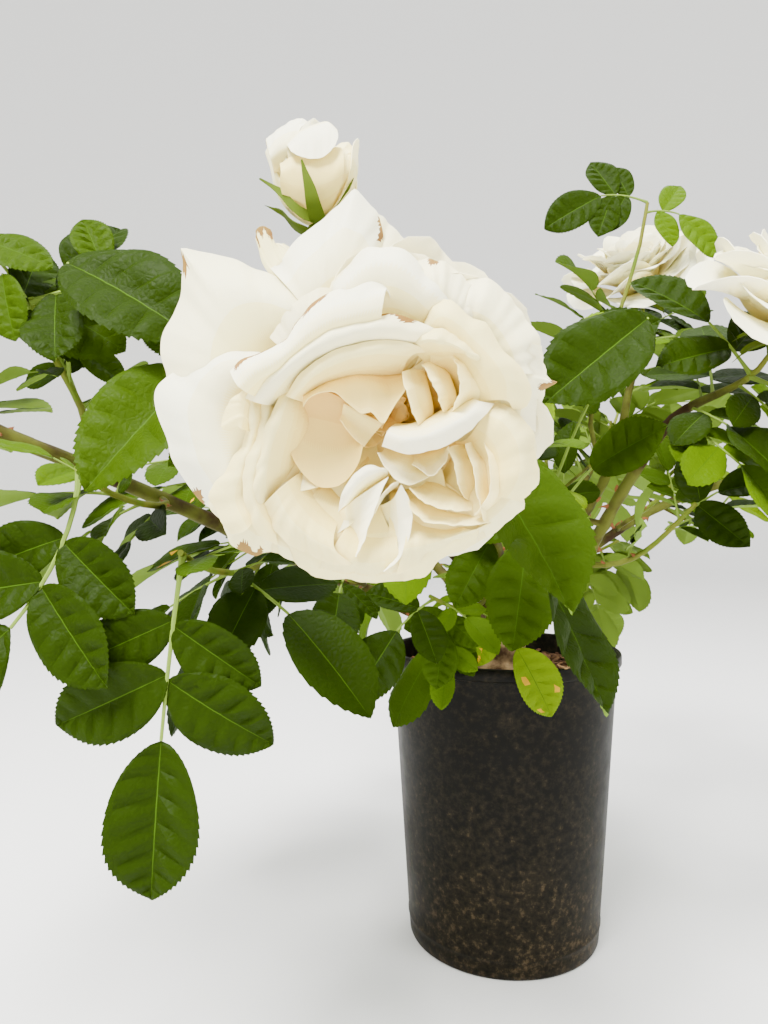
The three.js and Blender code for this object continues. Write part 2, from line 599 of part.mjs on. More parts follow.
// The soil: flat round the stock, dipping outwards, and banked up a little against the wall.
function soilSolid() {
  const { flatRadius, dip, dipAt, bank, bankWidth, wallDrop, sides } = SOIL;
  const bottom = POT.floor + CLEAR;
  const top = SOIL_TOP;
  // The facets of the pot's wall come a little nearer to the axis than its radius
  const edge = (z) => (radiusOfPot(z) - POT.wall) * Math.cos(Math.PI / POT.sides) - CLEAR;
  const buried = [[0, bottom], [edge(bottom), bottom], [edge(top - wallDrop), top - wallDrop]];
  const surface = [
    [edge(top) - bankWidth, top - bank],
    [lerp(flatRadius, edge(top), dipAt), top - dip],
    [flatRadius, top],
    [0, top],
  ];
  return turned([...buried, ...surface], ORIGIN, UP, sides);
}

// The bud union: a knob on a flaring foot, which is cut flat where it meets the soil.
function stockSolid() {
  const { knobRadius, knobRise, dome, waist, waistRise, flareRadius, flareRise, flareTop, sides } = STOCK;
  const foot = SOIL_TOP + CLEAR;
  const flare = [[0, foot], [flareRadius, foot], [flareRadius * flareTop, foot + flareRise]];
  const knob = dome.map((angle) => [
    knobRadius * Math.cos(radians(angle)),
    KNOB.z + knobRadius * Math.sin(radians(angle)),
  ]);
  const neck = [knobRadius * waist, foot + knobRise * waistRise];
  return turned([...flare, neck, ...knob, [0, KNOB.z + knobRadius]], ORIGIN, UP, sides);
}

// Building: flower heads

// Half the width of a petal at a share of its length, as a share of the greatest: it has a narrow
// foot, is widest past its middle and ends blunt.
function petalHalf(share) {
  const { widest, foot, blunt } = PETAL;
  const span = share < widest ? -widest * foot : (1 - widest) * blunt;
  const away = (share - widest) / span;
  return Math.sqrt(1 - away * away);
}

// One petal of the head that sits at seat and looks along face, turned about it. open is its angle
// from the axis at its foot and its edge, and cup the radius that it bends to across. Each is
// twisted a little, so that neighbours lap like tiles.
function petalSolid({ seat, face, turn, length, width, open, cup }) {
  const out = spoke(face, turn);
  const level = new THREE.Vector3().crossVectors(face, out);
  const twist = radians(PETAL.twist);
  const heading = (angle) =>
    out.clone().multiplyScalar(Math.sin(angle)).addScaledVector(face, Math.cos(angle));
  let centre = seat.clone().addScaledVector(face, PETAL.seat);
  const lines = PETAL.shares.map((share, row) => {
    const before = PETAL.shares[Math.max(row - 1, 0)];
    const lean = radians(lerp(...open, (share + before) / 2));
    centre = centre.clone().addScaledVector(heading(lean), (share - before) * length);
    const angle = radians(lerp(...open, share));
    const inner = heading(angle - Math.PI / 2);
    return {
      centre,
      normal: inner.clone().multiplyScalar(Math.cos(twist)).addScaledVector(level, -Math.sin(twist)),
      round: level.clone().multiplyScalar(Math.cos(twist)).addScaledVector(inner, Math.sin(twist)),
      bend: (width * 0.5 * petalHalf(share)) / cup,
    };
  });
  const at = ({ centre: middle, normal, round, bend }, hand) =>
    middle.clone()
      .addScaledVector(round, hand * cup * Math.sin(bend))
      .addScaledVector(normal, cup * (1 - Math.cos(bend)));
  const [foot, lower, upper, edge] = lines;
  const left = [lower, upper, edge].map((line) => at(line, -1));
  const right = [edge, upper, lower].map((line) => at(line, 1));
  const rim = [at(foot, 1), at(foot, -1), ...left, edge.centre, ...right];
  // The rim's nine points go round from the foot, and 9 and 10 are the middles of the lower and upper lines
  const faces = [[0, 1, 9], [1, 2, 9], [2, 3, 9], [3, 10, 9], [3, 4, 10], [4, 5, 10], [5, 6, 10], [6, 7, 10],
    [7, 9, 10], [7, 8, 9], [8, 0, 9]];
  return lens(rim, [lower.centre, upper.centre], [lower.normal, upper.normal], PETAL.thick, faces);
}

function bloomSolid(name, { base, face, radius }) {
  const seat = vec(base);
  const axis = vec(face).normalize();
  const [heart, tall] = (name.startsWith("bud") ? CORE.bud : CORE.bloom).map((share) => share * radius);
  const sides = [CORE.belly, CORE.top].map(([out, up]) => [out * heart, up * tall]);
  const core = turned([[0, 0], [CORE.footRadius, 0], ...sides, [0, tall]], seat, axis, CORE.sides);
  const petals = RINGS[name].flatMap((ring, i) => Array.from({ length: ring.count }, (_, k) => {
    return { ...ring, turn: (360 * (k + i * PETAL.ringTurn)) / ring.count + PETAL.firstTurn };
  }));
  if (name === "bloom_main") petals.push(...GUARDS);
  const grow = ({ turn, length, width, open, cup }) => petalSolid({
    seat,
    face: axis,
    turn: radians(turn),
    length: length * radius,
    width: width * radius,
    open,
    cup: cup * radius,
  });
  return fuse([core, ...petals.map(grow)]);
}

// Building: the masses, each a shoot with its twigs and leaves, and its hip and sepals if it flowers

// A leaflet or sepal: a folded blade of twelve faces whose base is sunk into what it grows from.
function bladeSolid(blade) {
  const { fold, droop, thick, sink } = LEAFLET;
  const frame = bladeFrame(blade);
  const side = (hand) => BLADE.shoulders.map(([u, v, share]) => [u, hand * v, fold * share]);
  const outline = [[-sink / blade.length, 0, 0], ...side(-1), [1, 0, -droop], ...side(1).reverse()];
  const rim = outline.map(([u, v, lift]) => bladePoint(blade, frame, u, v, lift));
  const ridge = bladePoint(blade, frame, BLADE.ridge, 0, 0);
  const faces = rim.map((_, i) => [i, (i + 1) % rim.length, rim.length]);
  return lens(rim, [ridge], [frame.normal], 2 * thick * blade.length, faces);
}

// The swelling under a flower, with its sepals: folded back under an open bloom, up round a bud.
function hipParts({ points, face, bud }) {
  const end = points.at(-1);
  const { radius, length, sunk, neck, belly, rim, sides, seat } = HIP;
  const profile = [
    [0, -sunk],
    [radius * neck, -sunk],
    [radius, length * belly],
    [radius * rim, length],
    [0, length],
  ];
  const blades = Array.from({ length: HIP.sepals }, (_, k) => {
    const out = spoke(face, (2 * Math.PI * k) / HIP.sepals);
    return bladeSolid({
      base: end.clone().addScaledVector(face, length * seat[0]).addScaledVector(out, radius * seat[1]),
      axis: out.clone().addScaledVector(face, bud ? HIP.shut : HIP.open),
      normal: face,
      length: HIP.sepal,
      wide: HIP.sepalWide,
    });
  });
  return [turned(profile, end, face, sides), ...blades];
}

function massSolid({ stems, leaves }) {
  const parts = stems.map(limb);
  for (const { stalk, leaflets } of leaves) {
    const radiusAt = (share) => lerp(STALK.radius, STALK.tipRadius, share);
    parts.push(limb({ ...stalk, radiusAt, sides: STALK.sides }));
    parts.push(...leaflets.map(bladeSolid));
  }
  if (stems[0].face) parts.push(...hipParts(stems[0]));
  return fuse(parts);
}

const MATERIALS = {
  pot: { color: 0x1b1a19, roughness: 0.55 },
  soil: { color: 0x3d2c20, roughness: 1 },
  bark: { color: 0x6b5a3a, roughness: 0.85 },
  cane: { color: 0x55662f, roughness: 0.6 },
  foliage: { color: 0x3f6b1f, roughness: 0.45 },
  petal: { color: 0xf3efe3, roughness: 0.6 },
};

const roseBush = new THREE.Group();

function add(name, manifold, material) {
  const finish = new THREE.MeshStandardMaterial({ ...MATERIALS[material], metalness: 0 });
  const mesh = new THREE.Mesh(geometryOf(manifold), finish);
  mesh.name = name;
  roseBush.add(mesh);
}

const { canes, masses } = growPlant();
add("pot", potSolid(), "pot");
add("soil", soilSolid(), "soil");
add("stock", stockSolid(), "bark");
for (const [name, cane] of Object.entries(canes)) {
  add(`cane_${name}`, limb(cane), "cane");
}
for (const [name, mass] of Object.entries(masses)) {
  add(`leaves_${name}`, massSolid(mass), "foliage");
}
for (const [name, bloom] of Object.entries(BLOOMS)) {
  add(name, bloomSolid(name, bloom), "petal");
}

export default roseBush;
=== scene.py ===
import math

import bpy
import numpy as np
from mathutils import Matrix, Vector


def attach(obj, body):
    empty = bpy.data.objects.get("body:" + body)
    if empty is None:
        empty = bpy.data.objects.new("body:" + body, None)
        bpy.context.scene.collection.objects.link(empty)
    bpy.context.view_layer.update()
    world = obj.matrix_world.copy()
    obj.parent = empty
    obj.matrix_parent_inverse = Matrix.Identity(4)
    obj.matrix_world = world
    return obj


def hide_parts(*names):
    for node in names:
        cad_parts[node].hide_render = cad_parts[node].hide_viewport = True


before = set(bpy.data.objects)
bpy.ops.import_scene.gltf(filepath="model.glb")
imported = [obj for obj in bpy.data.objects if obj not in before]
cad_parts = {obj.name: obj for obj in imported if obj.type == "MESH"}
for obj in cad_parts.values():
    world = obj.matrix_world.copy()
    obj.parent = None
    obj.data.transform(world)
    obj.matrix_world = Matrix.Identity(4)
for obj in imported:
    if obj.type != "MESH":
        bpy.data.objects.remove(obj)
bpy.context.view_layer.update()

# Sizes below are millimetres, as in the part's source, and turn into metres when a mesh is made
MM = 0.001
CLEAR = 0.3
UP = np.array([0.0, 0.0, 1.0])

# The photograph's frame and the camera that fits it: pixels, a lens in pixels, and a level look along +Y
FRAME_WIDE, FRAME_HIGH = 768, 1024
FOCAL = 769.0
SENSOR = 36.0
EYE = np.array([-99.0, -641.0, 345.0])

POT = dict(height=232, top=92, base=77, wall=2.4, lip=3, lip_depth=9)
SOIL = dict(below=18, thick=8, dip=2.5, dip_at=0.6, dip_wide=0.28, bank=1, bank_wide=12, level_edge=6, edge=1.4)
STOCK = dict(knob=19, knob_rise=20, flare=27, waist=0.86, waist_rise=0.42)
SOIL_TOP = POT["height"] - SOIL["below"]
KNOB = np.array([0.0, 0.0, SOIL_TOP + STOCK["knob_rise"]])

# The source's rule for leaves, twigs, shoots and canes
LEAFLET = dict(length=52, first=0.75, end=1.12, end_share=0.62, wide=0.33,
               forward=0.42, hang=0.16, tilt=0.18, lean=0.22, stagger=1.2)
STALK = dict(bare=0.44, shares=[0, 0.35, 0.7, 1])
REACH = [62, 104, 140]
FEELERS = [[0.12, 0.5], [0.3, 0.95], [0.5, 0.92], [0.7, 0.8], [0.87, 0.4]]
FEELER_TIP = 1.02
ROOM = dict(mass=1.2, cane=2.5, bloom=2.5, bloom_rise=0.42, bloom_reach=0.92, pot=5, leaf=8)
HABIT = dict(scale=(0.85, 1.1), small=0.8, one_pair=0.3, along=0.55, aside=0.85, droop=(0.1, 0.35), arch=0.1,
             outward=0.75, over=0.25, lowest=0.35, highest=0.97, single=0.7, waver=20, tries=24, next_turn=61)
PLACED_ARCH = 0.2
MULTIPLIER, MODULUS = 16807, 2147483647
# Every random draw's seed, and the step to the next shoot's, bloom's, hip's or cane's
SEEDS = dict(growth=(101, 1), finer=(5003, 17), foliage=(7001, 31), large_head=911, full_heads=(1200, 13),
             front_bud=1501, left_bud=1502, front_bud_rings=1503, calyces=(2100, 1), canes=(300, 1),
             shoot_prickles=(400, 1), bark=41, soil=77)
GOLDEN_TURN = 137.5
# About a whole turn, for the phases of waves
TURN = 6.3
HANDLE = 0.4
CANE_STEPS = 10
SHOOT = dict(radius=2.1, tip=1.4, rise=0.35, steps=8)
TWIG = dict(start=0.3, stop=0.6, length=72, along=0.5, rise=0.2, radius=1.5, tip=1, steps=4)
HIP = dict(radius=5, length=9, sepals=5)

CANES = {
    "front": dict(bearing=268, climb=52, radii=(5.2, 3.4), tip=(-82, -262, 391), end=(-0.12, -0.98, 0.1)),
    "bud": dict(bearing=212, climb=66, radii=(4.8, 3.2), tip=(-124, -198, 402), end=(-0.1, -0.75, 0.66)),
    "left": dict(bearing=214, climb=20, radii=(5.6, 4.2), tip=(-288, -232, 381), end=(-0.8, -0.35, 0.35)),
    "right_front": dict(bearing=300, climb=30, radii=(5, 3.4), tip=(62, -196, 392), end=(0.3, -0.45, 0.6)),
    "right_back": dict(bearing=345, climb=66, radii=(5, 3.4), tip=(96, -18, 425), end=(0.15, 0.05, 1)),
    "right": dict(bearing=22, climb=46, radii=(4.6, 3), tip=(205, -28, 376), end=(0.95, -0.2, 0.2)),
    "back_right": dict(bearing=58, climb=44, radii=(4.8, 3.2), tip=(118, 168, 388), end=(0.45, 0.6, 0.6)),
    "back_left": dict(bearing=132, climb=42, radii=(5, 3.2), tip=(-132, 158, 396), end=(-0.4, 0.5, 0.75)),
}
BLOOMS = {
    "bloom_main": dict(base=(-99, -382, 379), face=(0.06, -0.98, -0.16), radius=51),
    "bloom_right": dict(base=(108, -238, 436), face=(0.2, -0.6, 0.75), radius=48),
    "bloom_back_right": dict(base=(112, -10, 522), face=(-0.3, -0.5, 0.8), radius=50),
    "bloom_back_left": dict(base=(-158, 204, 462), face=(-0.3, 0.5, 0.8), radius=48),
    "bud_front": dict(base=(-129, -295, 473), face=(-0.1, 0.06, 1), radius=21),
    "bud_left": dict(base=(-352, -262, 452), face=(-0.35, -0.1, 0.95), radius=17),
}


def leaf_at(at, to, face, pairs, scale, bow=None):
    """A leaf that the photograph shows: where along its shoot it springs, its tip and the way it faces."""
    return dict(at=at, to=to, face=face, pairs=pairs, scale=scale, bow=bow)


def shoot(cane, at, end, leaves=0, twigs=0, placed=()):
    """A shoot from its place along a cane to a flower, by name, or to a point."""
    flower, tip = (end, None) if isinstance(end, str) else (None, end)
    return dict(cane=cane, at=at, flower=flower, tip=tip, leaves=leaves, twigs=twigs, placed=placed)


SHOOTS = {
    "front_tip": shoot("front", 1, "bloom_main", 1, 0, [
        leaf_at(0.45, (-20, -367, 308), (0.5, -0.8, 0.3), 1, 1.25),
        leaf_at(0.15, (0, -341, 254), (0.8, -0.5, 0.2), 1, 1.25)]),
    "front_low": shoot("front", 0.2, (-70, -158, 292), 0, 0, [
        leaf_at(0.95, (-121, -206, 232), (-0.1, -0.95, 0.3), 1, 0.9),
        leaf_at(0.8, (-66, -150, 226), (0, -0.95, 0.3), 1, 0.75),
        leaf_at(0.35, (24, -112, 197), (0.2, -0.95, 0.2), 1, 0.9)]),
    "front_mid": shoot("front", 0.52, (-10, -205, 352), 1, 0, [
        leaf_at(0.9, (-34, -252, 268), (0.1, -0.95, 0.3), 1, 1.05),
        leaf_at(0.6, (-62, -226, 292), (0.2, -0.7, 0.7), 1, 0.8)]),
    "bud_tip": shoot("bud", 1, "bud_front", 0, 0, [
        leaf_at(0.2, (-180, -146, 410), (-0.3, 0.1, 1), 1, 0.9),
        leaf_at(0.3, (-66, -150, 432), (0.3, 0.2, 1), 1, 0.9)]),
    "bud_side": shoot("bud", 0.72, (-152, -290, 424), 0, 0, [
        leaf_at(1, (-219, -351, 351), (-0.1, -0.9, 0.4), 1, 1.25),
        leaf_at(0.7, (-196, -300, 372), (0, -0.8, 0.5), 0, 1)]),
    "left_tip": shoot("left", 1, "bud_left", 3),
    "left_up": shoot("left", 0.94, (-262, -286, 444), 0, 0, [
        leaf_at(0.98, (-179, -312, 430), (0.1, -0.75, 0.65), 1, 1.2),
        leaf_at(0.9, (-300, -312, 466), (-0.1, -0.7, 0.7), 1, 1.05),
        leaf_at(0.8, (-222, -268, 408), (0.1, -0.8, 0.6), 0, 1.1),
        leaf_at(0.85, (-240, -240, 494), (0.1, -0.8, 0.6), 0, 1)]),
    "left_down": shoot("left", 0.66, (-184, -320, 328), 0, 0, [
        leaf_at(0.98, (-197, -326, 168), (0.05, -0.97, 0.2), 2, 1.15)]),
    "left_fore": shoot("left", 0.82, (-232, -308, 364), 0, 0, [
        leaf_at(0.98, (-310, -340, 246), (-0.1, -0.92, 0.35), 2, 1.15, (42, 0, -6))]),
    "left_low": shoot("left", 0.4, (-160, -206, 332), 1, 0, [
        leaf_at(0.95, (-168, -222, 284), (0, -0.9, 0.4), 0, 1.1),
        leaf_at(0.5, (-128, -226, 268), (0.2, -0.9, 0.3), 1, 0.8)]),
    "left_back": shoot("left", 0.5, (-238, -92, 392), 3, 1),
    "right_front_tip": shoot("right_front", 1, "bloom_right", 1, 0, [
        leaf_at(0.8, (50, -200, 480), (0, -0.75, 0.65), 1, 1.15)]),
    "right_front_side": shoot("right_front", 0.7, (-34, -216, 404), 0, 0, [
        leaf_at(0.85, (38, -241, 446), (0.1, -0.8, 0.6), 0, 1.4),
        leaf_at(0.25, (52, -212, 392), (0.1, -0.9, 0.4), 0, 1),
        leaf_at(0.4, (-6, -250, 350), (0.1, -0.9, 0.5), 1, 0.9)]),
    "right_front_low": shoot("right_front", 0.5, (92, -170, 350), 2, 0, [
        leaf_at(0.9, (128, -196, 366), (0.1, -0.8, 0.6), 1, 1)]),
    "right_back_tip": shoot("right_back", 1, "bloom_back_right", 1),
    "right_back_leafy": shoot("right_back", 0.8, (96, -72, 574), 0, 0, [
        leaf_at(1, (16, -72, 556), (0, -0.95, 0.3), 2, 0.8, (0, 0, 26)),
        leaf_at(0.97, (152, -80, 528), (0.3, -0.9, 0.3), 1, 0.8, (4, 0, 26))]),
    "right_back_side": shoot("right_back", 0.5, (40, 40, 420), 3, 1),
    "right_tip": shoot("right", 1, (272, -70, 428), 3, 1),
    "right_side": shoot("right", 0.6, (176, 50, 402), 3, 1),
    "right_low": shoot("right", 0.5, (118, -78, 372), 3),
    "back_right_tip": shoot("back_right", 1, (168, 232, 462), 4, 1),
    "back_right_side": shoot("back_right", 0.6, (38, 182, 402), 3, 1),
    "back_right_low": shoot("back_right", 0.4, (122, 84, 318), 3),
    "back_left_tip": shoot("back_left", 1, "bloom_back_left", 2),
    "back_left_side": shoot("back_left", 0.68, (-52, 132, 452), 3, 1),
    "back_left_low": shoot("back_left", 0.45, (-168, 58, 336), 3, 1),
}
CLEARINGS = [
    [(-280, -460, 455), (40, -120, 700)],
    [(-300, -120, 515), (20, 100, 700)],
    [(75, -200, 230), (230, 60, 325)],
]


# Numbers and directions


def vec(p):
    return np.array(p, float)


def unit(v):
    return v / np.linalg.norm(v)


def lerp(a, b, t):
    return a + (b - a) * t


def smooth_step(t):
    t = np.clip(t, 0, 1)
    return t * t * (3 - 2 * t)


def rising(t, start, over):
    """Smoothly from 0 at start to 1 where t is over further on."""
    return smooth_step((t - start) / over)


def full_turn(count):
    """Angles evenly round a circle."""
    return np.linspace(0, 2 * math.pi, count, endpoint=False)


def seeded(seed):
    """The source's generator: the same numbers from the same seed."""
    state = seed

    def draw():
        nonlocal state
        state = state * MULTIPLIER % MODULUS
        return state / MODULUS

    return draw


def seed_of(kind, number):
    first, step = SEEDS[kind]
    return first + step * number


def across(direction):
    """Two directions across a line: side is level, rise points upwards."""
    pole = UP if abs(direction[2]) < 0.95 else vec((1, 0, 0))
    side = unit(np.cross(pole, direction))
    return side, np.cross(direction, side)


def spoke(direction, turn):
    side, rise = across(direction)
    return side * math.cos(turn) + rise * math.sin(turn)


def level_out(point):
    """The level way out from the plant's middle line to a point."""
    return unit(vec((point[0], point[1], 0)))


def pixel_ray(x, y):
    """The way from the camera through a pixel, one long towards the back."""
    return vec(((x - FRAME_WIDE / 2) / FOCAL, 1, -(y - FRAME_HIGH / 2) / FOCAL))


def seen_at(x, y, back):
    """The point that the photograph shows at a pixel, where Y is back."""
    return EYE + (back - EYE[1]) * pixel_ray(x, y)


class Line:
    """A limb's middle: points and directions along it, and its radius at foot and tip."""

    def __init__(self, points, directions, radii):
        self.points = np.array(points)
        self.directions = np.array([unit(d) for d in directions])
        self.radii = radii

    def radius(self, share):
        return lerp(*self.radii, share)

    def along(self, share):
        place = share * (len(self.points) - 1)
        i = min(int(place), len(self.points) - 2)
        t = place - i
        way = unit(lerp(self.directions[i], self.directions[i + 1], t))
        return lerp(self.points[i], self.points[i + 1], t), way

    def finely(self, count):
        """Points at even shares of the way along."""
        return np.array([self.along(share)[0] for share in np.linspace(0, 1, count)])


def cubic(start, out, end, arrive, shares):
    """Points and directions of a line that leaves start along out and reaches end along arrive."""
    reach = np.linalg.norm(end - start) * HANDLE
    a, b, c, d = start, start + out * reach, end - arrive * reach, end
    t = np.array(shares, float)[:, None]
    points = (1 - t) ** 3 * a + 3 * (1 - t) ** 2 * t * b + 3 * (1 - t) * t**2 * c + t**3 * d
    ways = 3 * (1 - t) ** 2 * (b - a) + 6 * (1 - t) * t * (c - b) + 3 * t**2 * (d - c)
    return points, ways


def sweep(start, out, end, arrive, steps, radii):
    return Line(*cubic(start, out, end, arrive, np.linspace(0, 1, steps + 1)), radii)


# Growth, by the source's rule


def grow_cane(cane):
    bearing, climb = math.radians(cane["bearing"]), math.radians(cane["climb"])
    out = vec((math.cos(bearing) * math.cos(climb), math.sin(bearing) * math.cos(climb), math.sin(climb)))
    foot = KNOB + out * (STOCK["knob"] + CLEAR)
    return sweep(foot, out, vec(cane["tip"]), unit(vec(cane["end"])), CANE_STEPS, cane["radii"])


def grow_shoot(plan, cane):
    terminal = plan["at"] == 1
    flower = BLOOMS.get(plan["flower"])
    face = unit(vec(flower["face"])) if flower else None
    end = vec(flower["base"]) - face * (CLEAR + HIP["length"]) if flower else vec(plan["tip"])
    seat, way = cane.along(plan["at"])
    out = way
    start = seat + out * CLEAR
    if not terminal:
        aim = end - seat
        out = unit(aim - way * aim.dot(way))
        start = seat + out * (cane.radius(plan["at"]) + CLEAR)
    arrive = face if flower else unit(unit(end - start) + UP * SHOOT["rise"])
    thickest = cane.radius(1) if terminal else SHOOT["radius"]
    return sweep(start, out, end, arrive, SHOOT["steps"], (thickest, SHOOT["tip"]))


def grow_twigs(stem, count, random):
    twigs = []
    for i in range(count):
        point, way = stem.along(lerp(TWIG["start"], TWIG["stop"], random()))
        aside = spoke(way, math.radians(360 * random() + GOLDEN_TURN * i))
        out = unit(aside + way * TWIG["along"])
        end = point + out * TWIG["length"] + UP * TWIG["length"] * TWIG["rise"]
        twigs.append(sweep(point, out, end, UP, TWIG["steps"], (TWIG["radius"], TWIG["tip"])))
    return twigs


class Leaf:
    """A stalk's curve and its leaflets, as in the source."""

    def __init__(self, start, end, bow, facing, pairs, scale):
        self.start, self.end, self.middle = start, end, (start + end) / 2 + bow
        self.scale = scale
        total = np.linalg.norm(end - start)
        end_length = min(LEAFLET["length"] * LEAFLET["end"] * scale, total * LEAFLET["end_share"])
        self.stalk_share = 1 - end_length / total
        leaflets = []
        for pair in range(pairs):
            share = lerp(STALK["bare"], 1, pair / pairs) * self.stalk_share
            point, way = self.at(share), self.heading(share)
            normal = unit(facing - way * facing.dot(way))
            side = np.cross(normal, way)
            length = LEAFLET["length"] * scale * lerp(LEAFLET["first"], 1, pair / pairs)
            for hand in (-1, 1):
                axis = way * LEAFLET["forward"] + side * hand - UP * LEAFLET["hang"]
                upper = normal + side * hand * LEAFLET["tilt"] + way * LEAFLET["lean"]
                leaflets.append(Blade(point + way * hand * LEAFLET["stagger"], axis, upper, length))
        base = self.at(STALK["shares"][-1] * self.stalk_share)
        self.carry([*leaflets, Blade(base, end - base, facing, end_length)])

    def carry(self, leaflets):
        """Takes its leaflets, and feels along them and its stalk for what is near."""
        self.leaflets = leaflets
        stalk = [self.at(share * self.stalk_share) for share in STALK["shares"]]
        self.feelers = np.vstack([stalk[1:], *(blade.feelers() for blade in leaflets)])

    def at(self, t):
        return (1 - t) ** 2 * self.start + 2 * (1 - t) * t * self.middle + t * t * self.end

    def heading(self, t):
        return unit(2 * (1 - t) * (self.middle - self.start) + 2 * t * (self.end - self.middle))


class LoneLeaf(Leaf):
    """One large leaflet from its base to its tip, on a curved stalk from its stem."""

    def __init__(self, start, base, tip, facing):
        reach, length = np.linalg.norm(base - start), np.linalg.norm(tip - base)
        self.start, self.end, self.middle = start, base, (start + base) / 2 + UP * reach * PLACED_ARCH
        self.scale, self.stalk_share = 1, 1
        self.carry([Blade(base, tip - base, facing, length)])


class Blade:
    """A leaflet: its base, the way it points, its upper side and its length."""

    def __init__(self, base, axis, normal, length):
        self.base, self.length = base, length
        self.axis = unit(axis)
        self.normal = unit(normal - self.axis * normal.dot(self.axis))
        self.side = np.cross(self.normal, self.axis)

    def place(self, u, v, lift):
        """Points at shares u of the length, v of the half width and lift of the length."""
        u, v, lift = (np.asarray(x, float)[..., None] for x in (u, v, lift))
        return self.base + self.length * (u * self.axis + v * LEAFLET["wide"] * self.side + lift * self.normal)

    def feelers(self):
        spots = np.array([(u, v) for u, wide in FEELERS for v in (-wide, 0, wide)] + [(FEELER_TIP, 0)])
        return self.place(spots[:, 0], spots[:, 1], np.zeros(len(spots)))


def distances(points, starts, ways):
    """How far each point is from each segment."""
    gap = points[:, None] - starts[None]
    share = np.clip((gap * ways).sum(2) / (ways * ways).sum(1), 0, 1)
    return np.linalg.norm(gap - share[..., None] * ways, axis=2)


def segments(lines):
    starts = np.vstack([line.points[:-1] for line in lines])
    return starts, np.vstack([line.points[1:] for line in lines]) - starts


class Space:
    """Which room on the plant is whose."""

    def __init__(self, canes, stems):
        self.names = list(stems)
        owners = [np.full(sum(len(s.points) - 1 for s in lines), i) for i, lines in enumerate(stems.values())]
        self.owner = np.concatenate(owners)
        self.starts, self.ways = segments([line for lines in stems.values() for line in lines])
        self.canes = [(segments([cane]), cane.radii[0] + ROOM["cane"]) for cane in canes.values()]
        self.blooms = []
        for bloom in BLOOMS.values():
            centre = vec(bloom["base"]) + unit(vec(bloom["face"])) * bloom["radius"] * ROOM["bloom_rise"]
            self.blooms.append((centre, bloom["radius"] * ROOM["bloom_reach"] + ROOM["bloom"]))

    def free(self, points, name):
        """Whether every point is nearer to this mass's stems than to any other's, and clear of the rest."""
        reach = POT["top"] + POT["lip"] + ROOM["pot"]
        low = points[:, 2] < POT["height"] + ROOM["pot"]
        if (low & (np.hypot(points[:, 0], points[:, 1]) < reach)).any():
            return False
        for lowest, highest in CLEARINGS:
            if ((points >= lowest) & (points <= highest)).all(1).any():
                return False
        if any((np.linalg.norm(points - centre, axis=1) < far).any() for centre, far in self.blooms):
            return False
        if any((distances(points, *line) < far).any() for line, far in self.canes):
            return False
        mine = self.owner == self.names.index(name)
        found = distances(points, self.starts, self.ways)
        return bool((found[:, mine].min(1) + ROOM["mass"] < found[:, ~mine].min(1)).all())


def apart(leaf, others, room):
    return all(
        (np.linalg.norm(leaf.feelers[:, None] - other.feelers[None], axis=2) > room).all() for other in others
    )


def try_leaf(stem, share, turn, small, random):
    point, way = stem.along(share)
    scale = lerp(*HABIT["scale"], random()) * (HABIT["small"] if small else 1)
    pairs = 1 if random() < HABIT["one_pair"] or small else 2
    reach = scale * REACH[pairs]
    aside = spoke(way, turn)
    out = unit(way * HABIT["along"] + aside * HABIT["aside"])
    droop = reach * lerp(*HABIT["droop"], random())
    facing = UP + level_out(point) * HABIT["outward"] + aside * HABIT["over"]
    return Leaf(point, point + out * reach - UP * droop, UP * reach * HABIT["arch"], facing, pairs, scale)


def grow_leaves(name, stems, space, random):
    plan = SHOOTS[name]
    leaves = []
    for leaf in plan["placed"]:
        point, _ = stems[0].along(leaf["at"])
        end = vec(leaf["to"])
        bow = vec(leaf["bow"]) if leaf["bow"] else UP * np.linalg.norm(end - point) * PLACED_ARCH
        leaves.append(Leaf(point, end, bow, vec(leaf["face"]), leaf["pairs"], leaf["scale"]))
    first_turn = random() * 360
    wanted = plan["leaves"]
    for i in range(wanted):
        stem = stems[(i + 1) % len(stems)]
        share = lerp(HABIT["lowest"], HABIT["highest"], HABIT["single"] if wanted == 1 else i / (wanted - 1))
        for attempt in range(HABIT["tries"]):
            turn = first_turn + GOLDEN_TURN * i + HABIT["next_turn"] * attempt + HABIT["waver"] * random()
            leaf = try_leaf(stem, share, math.radians(turn), attempt > HABIT["tries"] / 2, random)
            if space.free(leaf.feelers, name) and apart(leaf, leaves, ROOM["leaf"]):
                leaves.append(leaf)
                break
    return leaves


# Broad leaflets of the photograph that fill the crown beside the large bloom: where along their shoot they
# spring, the pixels of their base and their tip with how far back each is, and the way they face
BROAD = {
    "left_up": [
        (0.9, (-25, 238, -292), (49, 256, -298), (-0.1, -0.75, 0.65)),
        (0.4, (14, 285, -275), (122, 340, -290), (0.1, -0.85, 0.5)),
        (0.3, (40, 318, -262), (112, 362, -268), (0.1, -0.85, 0.5)),
        (0.55, (68, 263, -303), (188, 318, -333), (0.05, -0.8, 0.6)),
        (0.8, (2, 274, -298), (9, 338, -306), (-0.3, -0.9, 0.2)),
        (0.7, (104, 268, -262), (82, 216, -256), (0.1, -0.85, 0.5))],
    "right_front_side": [
        (0.35, (648, 318, -266), (545, 400, -284), (0.1, -0.85, 0.5))],
}


def broad_leaves(name, stem):
    return [LoneLeaf(stem.along(at)[0], seen_at(*base), seen_at(*tip), vec(facing))
            for at, base, tip, facing in BROAD.get(name, [])]


# The rule carried on: smaller leaves in the room that is left, more of them on the shoots under more
FINER = dict(leaves=8, tries=24, share=(0.12, 0.95), scale=(1.1, 0.5), one_pair=0.6, reach=0.85, along=(0.1, 0.7),
             droop=0.3, arch=0.12, outward=0.8, over=0.4, room=5,
             more=dict(front_low=16, front_mid=10, right_front_low=12, left_low=12, left_tip=12, left_back=12))


